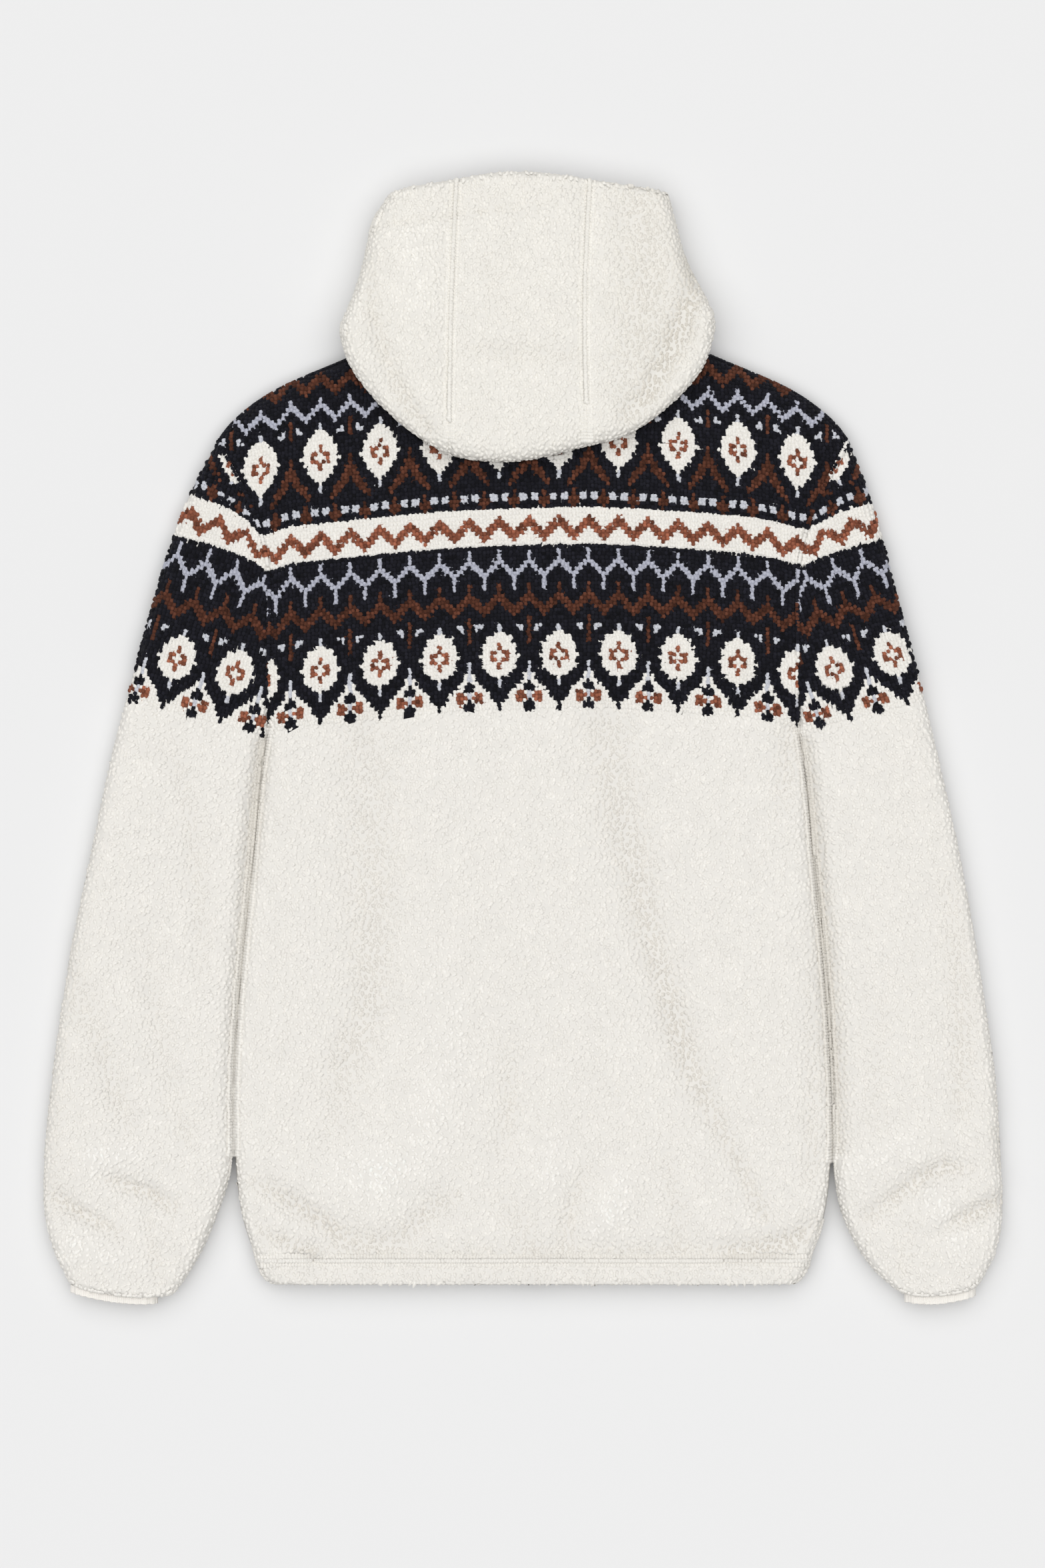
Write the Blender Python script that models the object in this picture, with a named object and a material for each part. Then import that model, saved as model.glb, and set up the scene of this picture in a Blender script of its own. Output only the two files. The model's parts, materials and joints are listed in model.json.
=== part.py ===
"""
A hooded sherpa jacket, laid flat on its front with its back up.

Each panel is a wall of pile fabric: an outer surface worked out from the
tables below, and an inner one a wall's thickness behind it. Lengths are in
millimetres until a mesh is made. x runs across the jacket from the centre-back
line (the wearer's left is at minus x), y runs up from the hem towards the
hood, and z is the height above the surface that the jacket lies on.
"""

from bisect import bisect_right
from collections import namedtuple
from math import asin, cos, degrees, exp, hypot, pi, radians, sin

import bmesh
import bpy

MM = 0.001

# Driving dimensions
WALL = 8.0              # knitted ground with its curly pile
LOFT = 3.5              # air between the two layers of the laid garment
SEAM_GAP = 0.3          # between the pieces that meet at a seam
LAID = 2 * WALL + LOFT  # height of the two layers
MIDDLE = LAID / 2       # height of the side seams
SEAM_DIP = 1.7          # how far a seam draws the pile in
SEAM_REACH = 8.0        # how far from the seam that shows
LOWEST_TOP = LAID - 3.0 # no fold presses the upper layer below this
HEM_DEPTH = 17.0        # casing round the hem
ARMPIT = 407.0          # height of the armpit above the hem
SHOULDER = 620.0        # height of the shoulder point
ARMPIT_ROLL = 45.0      # stretch of the armhole seam that turns under
HIGH_POINT = 85.0       # half width of the neck at the shoulder seams
CHANNEL = 14.5          # half width between the two fronts, filled by the zip
HOOD_ROLL = 12.0        # width of the hood's rounded rim
YOKE_TOP = LAID + SEAM_GAP

# The middle of the laid jacket's outline, which is set over the origin
OUTLINE_MIDDLE_X = -7.35
OUTLINE_MIDDLE_Y = 400.83

Edge = namedtuple("Edge", "up half_width")
BODY_EDGE = (
    Edge(0, 193.5), Edge(7, 200.4), Edge(19, 204.4), Edge(30, 208.7), Edge(42, 214.1),
    Edge(60, 217.1), Edge(91, 219.5), Edge(121, 220.7), Edge(170, 219.0), Edge(248, 212.9),
    Edge(326, 205.3), Edge(366, 201.9), Edge(407, 195.6), Edge(453, 195.0), Edge(503, 194.0),
    Edge(530, 195.0), Edge(545, 198.0), Edge(577, 209.0), Edge(600, 221.0), Edge(620, 232.0),
)

Top = namedtuple("Top", "out up")
SHOULDER_LINE = (
    Top(HIGH_POINT, 699), Top(140, 679), Top(175, 665), Top(198, 654), Top(216, 642), Top(232, 620),
)
BACK_NECK = (Top(0, 679), Top(40, 683), Top(70, 691))
FRONT_NECK = (Top(CHANNEL, 620), Top(38, 628), Top(61, 650))

Ring = namedtuple("Ring", "along outer_x outer_y inner_x inner_y")
LEFT_SLEEVE = (
    Ring(0.00, 232.3, 620.0, 195.9, 407.0), Ring(0.08, 260.0, 568.0, 201.6, 374.0),
    Ring(0.17, 278.2, 512.0, 204.9, 337.0), Ring(0.27, 295.0, 450.0, 208.4, 296.0),
    Ring(0.37, 312.2, 388.0, 212.7, 255.0), Ring(0.47, 324.8, 325.0, 217.0, 213.0),
    Ring(0.57, 338.4, 263.0, 219.6, 172.0), Ring(0.67, 348.8, 201.0, 221.1, 131.0),
    Ring(0.76, 355.9, 145.0, 220.3, 94.0), Ring(0.84, 361.2, 95.0, 228.3, 61.0),
    Ring(0.90, 361.6, 57.0, 238.0, 36.0), Ring(0.95, 356.0, 28.0, 248.0, 15.0),
    Ring(1.00, 342.5, -0.5, 264.0, -8.5),
)
RIGHT_SLEEVE = (
    Ring(0.00, 232.3, 620.0, 195.9, 407.0), Ring(0.08, 252.5, 568.0, 201.6, 374.0),
    Ring(0.17, 267.5, 512.0, 204.9, 337.0), Ring(0.27, 284.5, 450.0, 208.4, 296.0),
    Ring(0.37, 299.3, 388.0, 212.7, 255.0), Ring(0.47, 313.5, 325.0, 217.0, 213.0),
    Ring(0.57, 325.0, 263.0, 219.6, 172.0), Ring(0.67, 334.5, 201.0, 221.1, 131.0),
    Ring(0.76, 342.5, 145.0, 220.3, 94.0), Ring(0.84, 345.0, 95.0, 226.5, 52.0),
    Ring(0.90, 346.9, 57.0, 236.0, 31.0), Ring(0.95, 343.5, 27.0, 248.0, 12.0),
    Ring(1.00, 329.0, -2.0, 268.0, -6.5),
)
CUFF_WALL = 4.0
CUFF_HEIGHT = 11.4
CUFF_SAG = 4.0          # how far the middle of the sleeve's end hangs below its sides
Cuff = namedtuple("Cuff", "start end depth")
CUFFS = {"left": Cuff(0.02, 0.84, 5.6), "right": Cuff(0.04, 0.90, 6.4)}

# Hood: a row for each section, from the face edge round to the middle of the droop.
# seam_y is on the seam with the centre panel; edge_x, edge_y are on the outline;
# end_x, end_y are where the layer that turns under stops, over the yoke.
Section = namedtuple("Section", "along seam_y edge_x edge_y underside end_x end_y")
FLOOR_ROWS_END = 0.48   # sections up to here lie on the surface
YOKE_ROWS_START = 0.62  # sections from here lie on the yoke
LEFT_HOOD = (
    Section(0.00, 811.3, 106, 803, 0, 85, 699), Section(0.10, 790, 119.6, 783, 0, 85, 699),
    Section(0.20, 768, 123.5, 762, 0, 85, 699), Section(0.30, 745, 128, 741, 0, 85, 699),
    Section(0.40, 725, 135, 722, 0, 85, 699), Section(0.48, 713, 139.7, 712.5, 0, 85, 699),
    Section(0.55, 702, 143.6, 700.7, 9, 87, 699), Section(0.62, 693, 139, 682, YOKE_TOP, 86, 697),
    Section(0.70, 684, 129, 664, YOKE_TOP, 82, 695), Section(0.78, 675, 112, 644, YOKE_TOP, 77, 693),
    Section(0.86, 667, 92, 626.5, YOKE_TOP, 71, 690), Section(0.93, 659, 76, 615.5, YOKE_TOP, 66, 687),
    Section(1.00, 650, 62.1, 608.5, YOKE_TOP, 62.1, 684),
)
RIGHT_HOOD = (
    Section(0.00, 811.2, 100, 802, 0, 85, 699), Section(0.10, 790, 105.2, 784, 0, 85, 699),
    Section(0.20, 768, 109.5, 765, 0, 85, 699), Section(0.30, 745, 116.5, 745, 0, 85, 699),
    Section(0.40, 725, 128, 726, 0, 85, 699), Section(0.48, 713, 134, 712.5, 0, 85, 699),
    Section(0.55, 702, 134.5, 700.7, 9, 87, 699), Section(0.62, 693, 131, 687, YOKE_TOP, 86, 697),
    Section(0.70, 684, 124, 670, YOKE_TOP, 79, 694), Section(0.78, 675, 107, 650.5, YOKE_TOP, 69, 690),
    Section(0.86, 667, 85, 632, YOKE_TOP, 59, 686), Section(0.93, 660, 62, 619.5, YOKE_TOP, 49, 683),
    Section(1.00, 652, 40.1, 614.6, YOKE_TOP, 40.1, 681),
)
HoodSeam = namedtuple("HoodSeam", "up left right")
HOOD_SEAMS = (HoodSeam(600, -62.1, 40.1), HoodSeam(712, -60.3, 37.6), HoodSeam(818, -56.0, 41.8))
Rise = namedtuple("Rise", "up height")
HOOD_RISE = (
    Rise(600, YOKE_TOP + LAID), Rise(680, YOKE_TOP + LAID), Rise(712, 38.5), Rise(745, 35.0),
    Rise(775, 31.0), Rise(800, 27.0), Rise(818, 25.0),
)
CentreColumn = namedtuple("CentreColumn", "across face droop neck")
HOOD_CENTRE = (
    CentreColumn(0.00, 811.3, 608.5, 684), CentreColumn(0.15, 814.5, 604.5, 680),
    CentreColumn(0.45, 816.9, 602.7, 677), CentreColumn(0.70, 815.6, 606.6, 677),
    CentreColumn(1.00, 811.2, 614.6, 681),
)

# Troughs pressed into the upper layer, as lines from one end to the other
Fold = namedtuple("Fold", "x1 y1 x2 y2 depth reach")
FOLDS = (
    Fold(-122, 375, -147, 111, 1.8, 26), Fold(54, 395, 78, 297, 1.6, 22),
    Fold(78, 297, 118, 170, 1.8, 24), Fold(118, 170, 172, 42, 1.6, 22),
    Fold(-17, 170, -20, 110, 1.2, 18), Fold(-181, 57, -147, 22, 2.0, 13),
    Fold(-78, 47, -98, 32, 1.6, 12), Fold(29, 62, 24, 32, 1.6, 12),
    Fold(-321, 77, -270, 60, 2.6, 12), Fold(-352, 63, -317, 42, 2.4, 10),
    Fold(-284, 258, -264, 111, 1.4, 20), Fold(259, 54, 310, 87, 2.6, 12),
    Fold(304, 41, 338, 48, 2.4, 10), Fold(98, 748, 118, 689, 2.4, 14),
    Fold(-108, 718, -106, 660, 2.2, 14), Fold(-40, 672, 20, 668, 1.6, 22),
)

# Zip of the centre front, hidden under the laid jacket
TAPE_LOW = 4.6
TAPE_THICK = 0.8
TAPE_INNER = 2.8
CHAIN_HALF = 2.5
CHAIN_LOW = 4.1
CHAIN_THICK = 2.0
ZIP_BOTTOM = 2.0
ZIP_TOP = 617.0
CHAIN_TOP = 606.0
SLIDER_Y = 604.0        # height of the pull tab's axis above the hem
SLIDER_HALF_LENGTH = 6.0
SLIDER_HALF_WIDTH = 4.2
SLIDER_PLATE = 0.8
SLIDER_LOW = 3.0
BRIDGE_HALF_WIDTH = 0.9
BRIDGE_BAR = 0.8
BRIDGE_LOW = 0.6
BRIDGE_LEG = 1.0
BRIDGE_HALF_LENGTH = 4.0
AXIS_HEIGHT = 2.2
PULL_THICK = 1.0
PULL_HALF_WIDTH = 2.9
PULL_EYE_HALF_WIDTH = 1.4
PULL_EYE_LENGTH = 4.4
PULL_BAR = 0.5          # half the eye's cross bar
PULL_LENGTH = 30.0

CREAM = (0.83, 0.80, 0.74)
IVORY = (0.85, 0.82, 0.76)
NAVY_BAND = (0.30, 0.27, 0.26)
BINDING = (0.86, 0.82, 0.75)
TAPE_COLOUR = (0.78, 0.75, 0.69)
BRASS = (0.55, 0.45, 0.28)


def curve(table, key, column):
    """A function of one column over another, smooth and with no overshoot."""
    keys = [getattr(row, key) for row in table]
    values = [getattr(row, column) for row in table]
    steps = [b - a for a, b in zip(keys, keys[1:])]
    slopes = [(b - a) / step for a, b, step in zip(values, values[1:], steps)]
    tangents = [slopes[0]]
    for before, after in zip(slopes, slopes[1:]):
        turning = before * after <= 0
        tangents.append(0.0 if turning else 2 * before * after / (before + after))
    tangents.append(slopes[-1])

    def value(at):
        at = min(max(at, keys[0]), keys[-1])
        i = min(bisect_right(keys, at) - 1, len(steps) - 1)
        step = steps[i]
        t = (at - keys[i]) / step
        rise = values[i + 1] - values[i]
        start = tangents[i] * step
        finish = tangents[i + 1] * step
        squared = 3 * rise - 2 * start - finish
        cubed = start + finish - 2 * rise
        return values[i] + t * (start + t * (squared + t * cubed))

    return value


body_edge = curve(BODY_EDGE, "up", "half_width")
back_top = curve(BACK_NECK + SHOULDER_LINE, "out", "up")
hood_rise = curve(HOOD_RISE, "up", "height")
hood_seam = {side: curve(HOOD_SEAMS, "up", side) for side in ("left", "right")}


def spread(start, end, count):
    """Evenly spaced values, both ends included."""
    return [start + (end - start) * i / (count - 1) for i in range(count)]


def mix(a, b, share):
    return a + (b - a) * share


def front_top(out):
    """Neckline and shoulder of a front, straight between the table's points."""
    table = FRONT_NECK + SHOULDER_LINE
    for a, b in zip(table, table[1:]):
        if out <= b.out:
            if b.out <= HIGH_POINT:
                return mix(a.up, b.up, max(out - a.out, 0) / (b.out - a.out))
            return back_top(out)
    return table[-1].up


def folds(x, y):
    """Depth of the troughs at a point."""
    depth = 0.0
    for fold in FOLDS:
        dx, dy = fold.x2 - fold.x1, fold.y2 - fold.y1
        along = ((x - fold.x1) * dx + (y - fold.y1) * dy) / (dx * dx + dy * dy)
        along = min(max(along, 0.0), 1.0)
        away = hypot(x - fold.x1 - along * dx, y - fold.y1 - along * dy)
        depth += fold.depth * exp(-(away / fold.reach) ** 2)
    return depth


def seam_dip(distance):
    """How far the pile is drawn in at a distance from a seam."""
    return SEAM_DIP * exp(-(distance / SEAM_REACH) ** 2)


def material(name, colour, roughness, metallic=0.0):
    """A plain finish in one colour."""
    made = bpy.data.materials.new(name)
    made.use_nodes = True
    shader = made.node_tree.nodes["Principled BSDF"]
    shader.inputs["Base Color"].default_value = (*colour, 1.0)
    shader.inputs["Roughness"].default_value = roughness
    shader.inputs["Metallic"].default_value = metallic
    made.diffuse_color = (*colour, 1.0)
    return made


def place(name, mesh, finish, origin=(0.0, 0.0, 0.0)):
    """Put a mesh in the scene under the jacket's empty, its vertices in millimetres about origin."""
    for vertex in mesh.verts:
        vertex.co = [(c - o) * MM for c, o in zip(vertex.co, origin)]
    bmesh.ops.recalc_face_normals(mesh, faces=mesh.faces)
    data = bpy.data.meshes.new(name)
    mesh.to_mesh(data)
    mesh.free()
    data.materials.append(finish)
    data.shade_smooth()
    data.set_sharp_from_angle(angle=radians(40))
    piece = bpy.data.objects.new(name, data)
    piece.location = [o * MM for o in origin]
    piece.parent = jacket
    bpy.context.collection.objects.link(piece)
    return piece


def wall(name, point, rows, columns, finish, closed=False, left_out=()):
    """
    A panel with thickness, from point(row, column, behind).

    behind is 0 on the outer surface and 1 on the inner one. closed joins the
    last column to the first, as round a sleeve. left_out holds the (row, column)
    cells that are cut away.
    """
    mesh = bmesh.new()
    outer = [[mesh.verts.new(point(r, c, 0)) for c in range(columns)] for r in range(rows)]
    inner = [[mesh.verts.new(point(r, c, 1)) for c in range(columns)] for r in range(rows)]
    behind = {}
    for outer_row, inner_row in zip(outer, inner):
        behind.update(zip(outer_row, inner_row))
    sides = {}
    for r in range(rows - 1):
        for c in range(columns if closed else columns - 1):
            if (r, c) in left_out:
                continue
            after = (c + 1) % columns
            face = [outer[r][c], outer[r][after], outer[r + 1][after], outer[r + 1][c]]
            mesh.faces.new(face)
            mesh.faces.new([behind[v] for v in reversed(face)])
            for a, b in zip(face, face[1:] + face[:1]):
                sides[a, b] = True
    for a, b in sides:
        if (b, a) not in sides:
            mesh.faces.new([b, a, behind[a], behind[b]])
    bmesh.ops.delete(mesh, geom=[v for v in mesh.verts if not v.link_faces], context="VERTS")
    return place(name, mesh, finish)


def block(name, low, high, finish):
    """A plain bar between two corners."""
    mesh = bmesh.new()
    bmesh.ops.create_cube(mesh, size=1.0)
    for vertex in mesh.verts:
        vertex.co = [mix(a, b, c + 0.5) for a, b, c in zip(low, high, vertex.co)]
    return place(name, mesh, finish)


# Stations round a rolled edge: angles from the flat surface to the seam at half height
ROLL = (0.0, 45.0, 90.0)
SLEEVE_TOP_STEPS = 8
SLEEVE_UNDER_STEPS = 4
SLEEVE_LENGTH = 520.0   # along the middle of a sleeve
SHOULDER_BLEND = 16.0   # width over which the neck edge becomes the rolled shoulder
BACK_STEPS = 10         # columns on each half of the back
SIDE_ROWS = 14
FRONT_ROWS = 8


class Sleeve:
    """A laid sleeve, as rings from the armhole seam (along = 0) to the cuff (along = 1)."""

    def __init__(self, table, side):
        self.side = side
        self.edges = [curve(table, "along", column) for column in Ring._fields[1:]]

    def ends(self, along):
        """The outer and inner ends of a ring, seen from above."""
        ox, oy, ix, iy = (edge(along) for edge in self.edges)
        return (ox, oy), (ix, iy)

    def roll_length(self, along, end):
        """Length along the ring of its rounded end, which is longer where the ring is skewed."""
        step = 0.01
        before, after = max(along - step, 0.0), min(along + step, 1.0)
        a, b = self.ends(before)[end], self.ends(after)[end]
        edge = (b[0] - a[0], b[1] - a[1])
        outer, inner = self.ends(along)
        row = (inner[0] - outer[0], inner[1] - outer[1])
        crossing = abs(edge[0] * row[1] - edge[1] * row[0]) / (hypot(*edge) * hypot(*row))
        if end == 1 and along == 0.0:
            return ARMPIT_ROLL
        return min(MIDDLE / max(crossing, 0.05), ARMPIT_ROLL)

    def stations(self, along, steps):
        """Stations across one layer: (share of the ring, roll angle, which end)."""
        outer, inner = self.ends(along)
        length = hypot(inner[0] - outer[0], inner[1] - outer[1])
        first = self.roll_length(along, 0) / length
        last = self.roll_length(along, 1) / length
        rolled = [(first * (1 - sin(radians(a))), a, first) for a in reversed(ROLL[1:])]
        flat = [(share, 0.0, 0.0) for share in spread(first, 1 - last, steps + 1)]
        back = [(1 - last * (1 - sin(radians(a))), a, -last) for a in ROLL[1:]]
        return rolled + flat + back

    def plan(self, along, share):
        """Where a share of a ring lies, seen from above."""
        outer, inner = self.ends(along)
        x, y = mix(outer[0], inner[0], share), mix(outer[1], inner[1], share)
        seam_y = mix(SHOULDER, ARMPIT, share)
        seam_x = body_edge(seam_y) + SEAM_GAP
        straight_x = mix(body_edge(SHOULDER), body_edge(ARMPIT), share) + SEAM_GAP
        x += (seam_x - straight_x) * (1 - along) ** 3
        y -= CUFF_SAG * sin(pi * share) * max(0.0, 8 * along - 7)
        return self.side * x, y

    def top(self, along, x, y):
        """Height of the upper layer."""
        seam = seam_dip(along * SLEEVE_LENGTH)
        end = 1.5 * max(0.0, 12 * along - 11)
        return max(LAID - folds(x, y) - seam - end, LOWEST_TOP)

    def point(self, along, station, under, behind):
        share, angle, roll = station
        turn = radians(angle)
        plan = self.plan(along, share + roll * sin(turn) * behind * WALL / MIDDLE)
        if under:
            return (*plan, MIDDLE - (MIDDLE - behind * WALL) * cos(turn))
        top = self.top(along, *self.plan(along, share))
        return (*plan, MIDDLE + (top - MIDDLE - behind * WALL) * cos(turn))


LEFT = Sleeve(LEFT_SLEEVE, -1)
RIGHT = Sleeve(RIGHT_SLEEVE, 1)
SLEEVE_RINGS = (0.0, 0.012, 0.035) + tuple(spread(0.08, 0.80, 12)) + (0.84, 0.875, 0.905, 0.935, 0.965, 1.0)


def armhole_heights(steps):
    """Heights on the armhole seam, from the armpit up, where both its sides have a point."""
    return [mix(SHOULDER, ARMPIT, share) for share, _, _ in reversed(LEFT.stations(0.0, steps))]


def sleeve(name, shape, finish):
    """One sleeve, a closed tube open at both ends."""
    def ring(along):
        upper = [(station, False) for station in shape.stations(along, SLEEVE_TOP_STEPS)]
        lower = [(station, True) for station in shape.stations(along, SLEEVE_UNDER_STEPS)]
        return upper + lower[-2:0:-1]

    rings = [ring(along) for along in SLEEVE_RINGS]

    def point(row, column, behind):
        station, under = rings[row][column]
        return shape.point(SLEEVE_RINGS[row], station, under, behind)

    return wall(name, point, len(rings), len(rings[0]), finish, closed=True)


def cuff(name, shape, sizes, finish):
    """The narrow binding round the end of a sleeve."""
    half = CUFF_HEIGHT / 2
    outer, inner = shape.ends(1.0)
    length = hypot(inner[0] - outer[0], inner[1] - outer[1])
    first, last = sizes.start + half / length, sizes.end - half / length
    over = [(share, 0.0) for share in spread(first, last, 8)]
    below = [(share, pi) for share in spread(last, first, 8)]
    loop = [(sizes.start, pi / 2)] + over + [(sizes.end, pi / 2)] + below
    drops = (SEAM_GAP, SEAM_GAP + sizes.depth / 2, SEAM_GAP + sizes.depth)

    def point(row, column, behind):
        share, angle = loop[column]
        if share in (sizes.start, sizes.end):
            inward = behind * CUFF_WALL / length
            share += inward if share == sizes.start else -inward
        x, y = shape.plan(1.0, share)
        return x, y - drops[row], MIDDLE + (half - behind * CUFF_WALL) * cos(angle)

    return wall(name, point, len(drops), len(loop), finish, closed=True)


def side_turn(up):
    """How far the body's edge turns under: 1 along the side seam, 0 along the armhole."""
    if up <= ARMPIT:
        return 1.0
    return degrees(asin(max(0.0, 1 - (up - ARMPIT) / ARMPIT_ROLL))) / 90.0


def shoulder_turn(up, out):
    """Angle by which the body's top edge turns under, along the shoulder and not the neck."""
    roll = LEFT.roll_length(0.0, 0)
    turn = asin(max(0.0, 1 - (SHOULDER - up) / roll))
    return turn * min(max((out - HIGH_POINT) / SHOULDER_BLEND, 0.0), 1.0)


def half_height(level, facing, behind):
    """Height above or below the side seam; facing is 1 where the layer lies flat and 0 at its seam."""
    return SEAM_GAP / 2 + (level - MIDDLE - SEAM_GAP / 2 - behind * WALL) * facing


class Body:
    """The back or a front: rows from the hem seam to the top line, each from start to the edge."""

    def __init__(self, top_line, is_back, start=0.0):
        self.top_line = top_line
        self.is_back = is_back
        self.start = start

    def out(self, up, share, angle):
        """Distance from the centre line of a column, where the row's end is up above the hem."""
        flat_end = body_edge(up) - MIDDLE
        return mix(self.start, flat_end, share) + MIDDLE * sin(radians(angle))

    def point(self, up, side, share, angle, behind):
        """A point of the row whose end is up above the hem; angle is how far round the edge it is."""
        out = self.out(up, share, angle)
        top_out = self.out(SHOULDER, share, angle)
        bottom = HEM_DEPTH + SEAM_GAP
        y = mix(bottom, self.top_line(top_out), (up - bottom) / (SHOULDER - bottom))
        turn = radians(angle) * side_turn(up)
        lift = shoulder_turn(up, top_out)
        level = LAID
        if self.is_back:
            to_armhole = body_edge(up) - out
            level -= folds(side * out, y) + seam_dip(y - bottom)
            level = max(level - seam_dip(to_armhole) * (1 - side_turn(up)), LOWEST_TOP)
        rise = half_height(level, cos(turn) * cos(lift), behind)
        drop = behind * WALL * sin(lift)
        out *= body_edge(up - drop) / body_edge(up)
        out -= behind * WALL * sin(turn)
        return side * out, y - drop, MIDDLE + rise if self.is_back else MIDDLE - rise


def body_rows(steps, below):
    """Heights of the rows' ends: below the armpit, then the points of the armhole seam."""
    return spread(HEM_DEPTH + SEAM_GAP, ARMPIT, below)[:-1] + armhole_heights(steps)


def back_columns(count):
    """Columns across the whole back: (side, share, angle)."""
    rolled = [(1.0, angle) for angle in ROLL[1:]]
    right = [(1, share, 0.0) for share in spread(0.0, 1.0, count)] + [(1, *r) for r in rolled]
    return [(-1, share, angle) for _, share, angle in reversed(right[1:])] + right


def front_columns(side):
    """Columns of a front, with one on each point of the front neck."""
    span = body_edge(SHOULDER) - MIDDLE - CHANNEL
    neck = [(point.out - CHANNEL) / span for point in FRONT_NECK + SHOULDER_LINE[:1]]
    shares = neck + spread(neck[-1], 1.0, 4)[1:]
    return [(side, share, 0.0) for share in shares] + [(side, 1.0, angle) for angle in ROLL[1:]]


def body_panel(name, shape, columns, rows, finish):
    """The back or a front, above the hem."""
    def point(row, column, behind):
        return shape.point(rows[row], *columns[column], behind)

    return wall(name, point, len(rows), len(columns), finish)


def hem(name, shape, columns, finish):
    """The casing below the back or a front."""
    heights = (0.0, 2.5, 6.0, 11.0, HEM_DEPTH)

    def point(row, column, behind):
        up = heights[row]
        side, share, angle = columns[column]
        turn = radians(angle)
        out = shape.out(up, share, angle)
        level = LAID
        if shape.is_back:
            level -= folds(side * out, up) + seam_dip(HEM_DEPTH - up) + seam_dip(up * 2)
            level = max(level, LOWEST_TOP)
        rise = half_height(level, cos(turn), behind)
        out -= behind * WALL * sin(turn)
        return side * out, up, MIDDLE + rise if shape.is_back else MIDDLE - rise

    return wall(name, point, len(heights), len(columns), finish)


def hood_top(x, y):
    """Height of the hood's upper layer."""
    near = min(abs(x - hood_seam["left"](y)), abs(x - hood_seam["right"](y)))
    return hood_rise(y) - min(folds(x, y) + seam_dip(near), LAID - LOWEST_TOP)


HOOD_TURN = (0.0, 45.0, 90.0, 135.0, 180.0)
HOOD_TOP_STEPS = 7
FLOOR_COLUMNS = (105.0,) + tuple(point.out for point in reversed(FRONT_NECK + SHOULDER_LINE[:1])) + (0.5,)
HOOD_FACE = 811.5
HOOD_BASE = 712.5


class HoodSide:
    """A side of the hood: up from its seam, over, round the rim and back under."""

    def __init__(self, table, name, side):
        self.name = name
        self.side = side
        self.columns = {column: curve(table, "along", column) for column in Section._fields[1:]}

    def seam(self, along):
        """The point of a section on the seam with the centre panel."""
        y = self.columns["seam_y"](along)
        return abs(hood_seam[self.name](y)) + SEAM_GAP / 2, y

    def rim(self, along, reach):
        """A point of a section that is reach inside the outline, seen from above."""
        edge = self.columns["edge_x"](along), self.columns["edge_y"](along)
        if along == 1.0:
            edge = edge[0] + SEAM_GAP / 2, edge[1]
        seam = self.seam(along)
        length = hypot(edge[0] - seam[0], edge[1] - seam[1])
        share = 1 - reach / length
        return mix(seam[0], edge[0], share), mix(seam[1], edge[1], share)

    def under(self, along, step):
        """A point of the layer that turns under, seen from above."""
        start = self.rim(along, HOOD_ROLL)
        if along <= FLOOR_ROWS_END:
            out = FLOOR_COLUMNS[step]
            scale = start[0] / self.rim(FLOOR_ROWS_END, HOOD_ROLL)[0]
            base = front_top(out) + SEAM_GAP if out <= HIGH_POINT else HOOD_BASE
            stretch = (HOOD_FACE - base) / (HOOD_FACE - HOOD_BASE)
            return out * scale, HOOD_FACE - (HOOD_FACE - start[1]) * stretch
        end = self.columns["end_x"](along), self.columns["end_y"](along)
        share = (step + 1) / len(FLOOR_COLUMNS)
        return mix(start[0], end[0], share), mix(start[1], end[1], share)

    def point(self, along, column, behind):
        """A point of the panel's outer (behind = 0) or inner surface."""
        underside = self.columns["underside"](along)
        if column < HOOD_TOP_STEPS:
            seam = self.seam(along)
            start = self.rim(along, HOOD_ROLL)
            share = column / HOOD_TOP_STEPS
            out, y = mix(seam[0], start[0], share), mix(seam[1], start[1], share)
            return self.side * out, y, hood_top(self.side * out, y) - behind * WALL
        turned = column - HOOD_TOP_STEPS
        if turned < len(HOOD_TURN):
            turn = radians(HOOD_TURN[turned])
            out, y = self.rim(along, HOOD_ROLL - (HOOD_ROLL - behind * WALL) * sin(turn))
            flat_out, flat_y = self.rim(along, HOOD_ROLL)
            top = hood_top(self.side * flat_out, flat_y)
            half = (top - underside) / 2
            return self.side * out, y, underside + half + (half - behind * WALL) * cos(turn)
        out, y = self.under(along, turned - len(HOOD_TURN))
        return self.side * out, y, underside + behind * WALL


HOOD_SECTIONS = (
    0.0, 0.1, 0.2, 0.3, 0.4, 0.48, 0.55, 0.62, 0.66, 0.70, 0.74, 0.78, 0.82, 0.86, 0.895, 0.93, 0.965, 1.0,
)


def hood_side(name, shape, finish):
    """A side panel of the hood, cut away where the neck comes up between its two ends."""
    columns = HOOD_TOP_STEPS + len(HOOD_TURN) + len(FLOOR_COLUMNS)
    first_under = HOOD_TOP_STEPS + len(HOOD_TURN) - 1
    cut = range(HOOD_SECTIONS.index(FLOOR_ROWS_END), HOOD_SECTIONS.index(YOKE_ROWS_START))
    neck = {(row, column) for row in cut for column in range(first_under, columns)}

    def point(row, column, behind):
        return shape.point(HOOD_SECTIONS[row], column, behind)

    return wall(name, point, len(HOOD_SECTIONS), columns, finish, left_out=neck)


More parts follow.
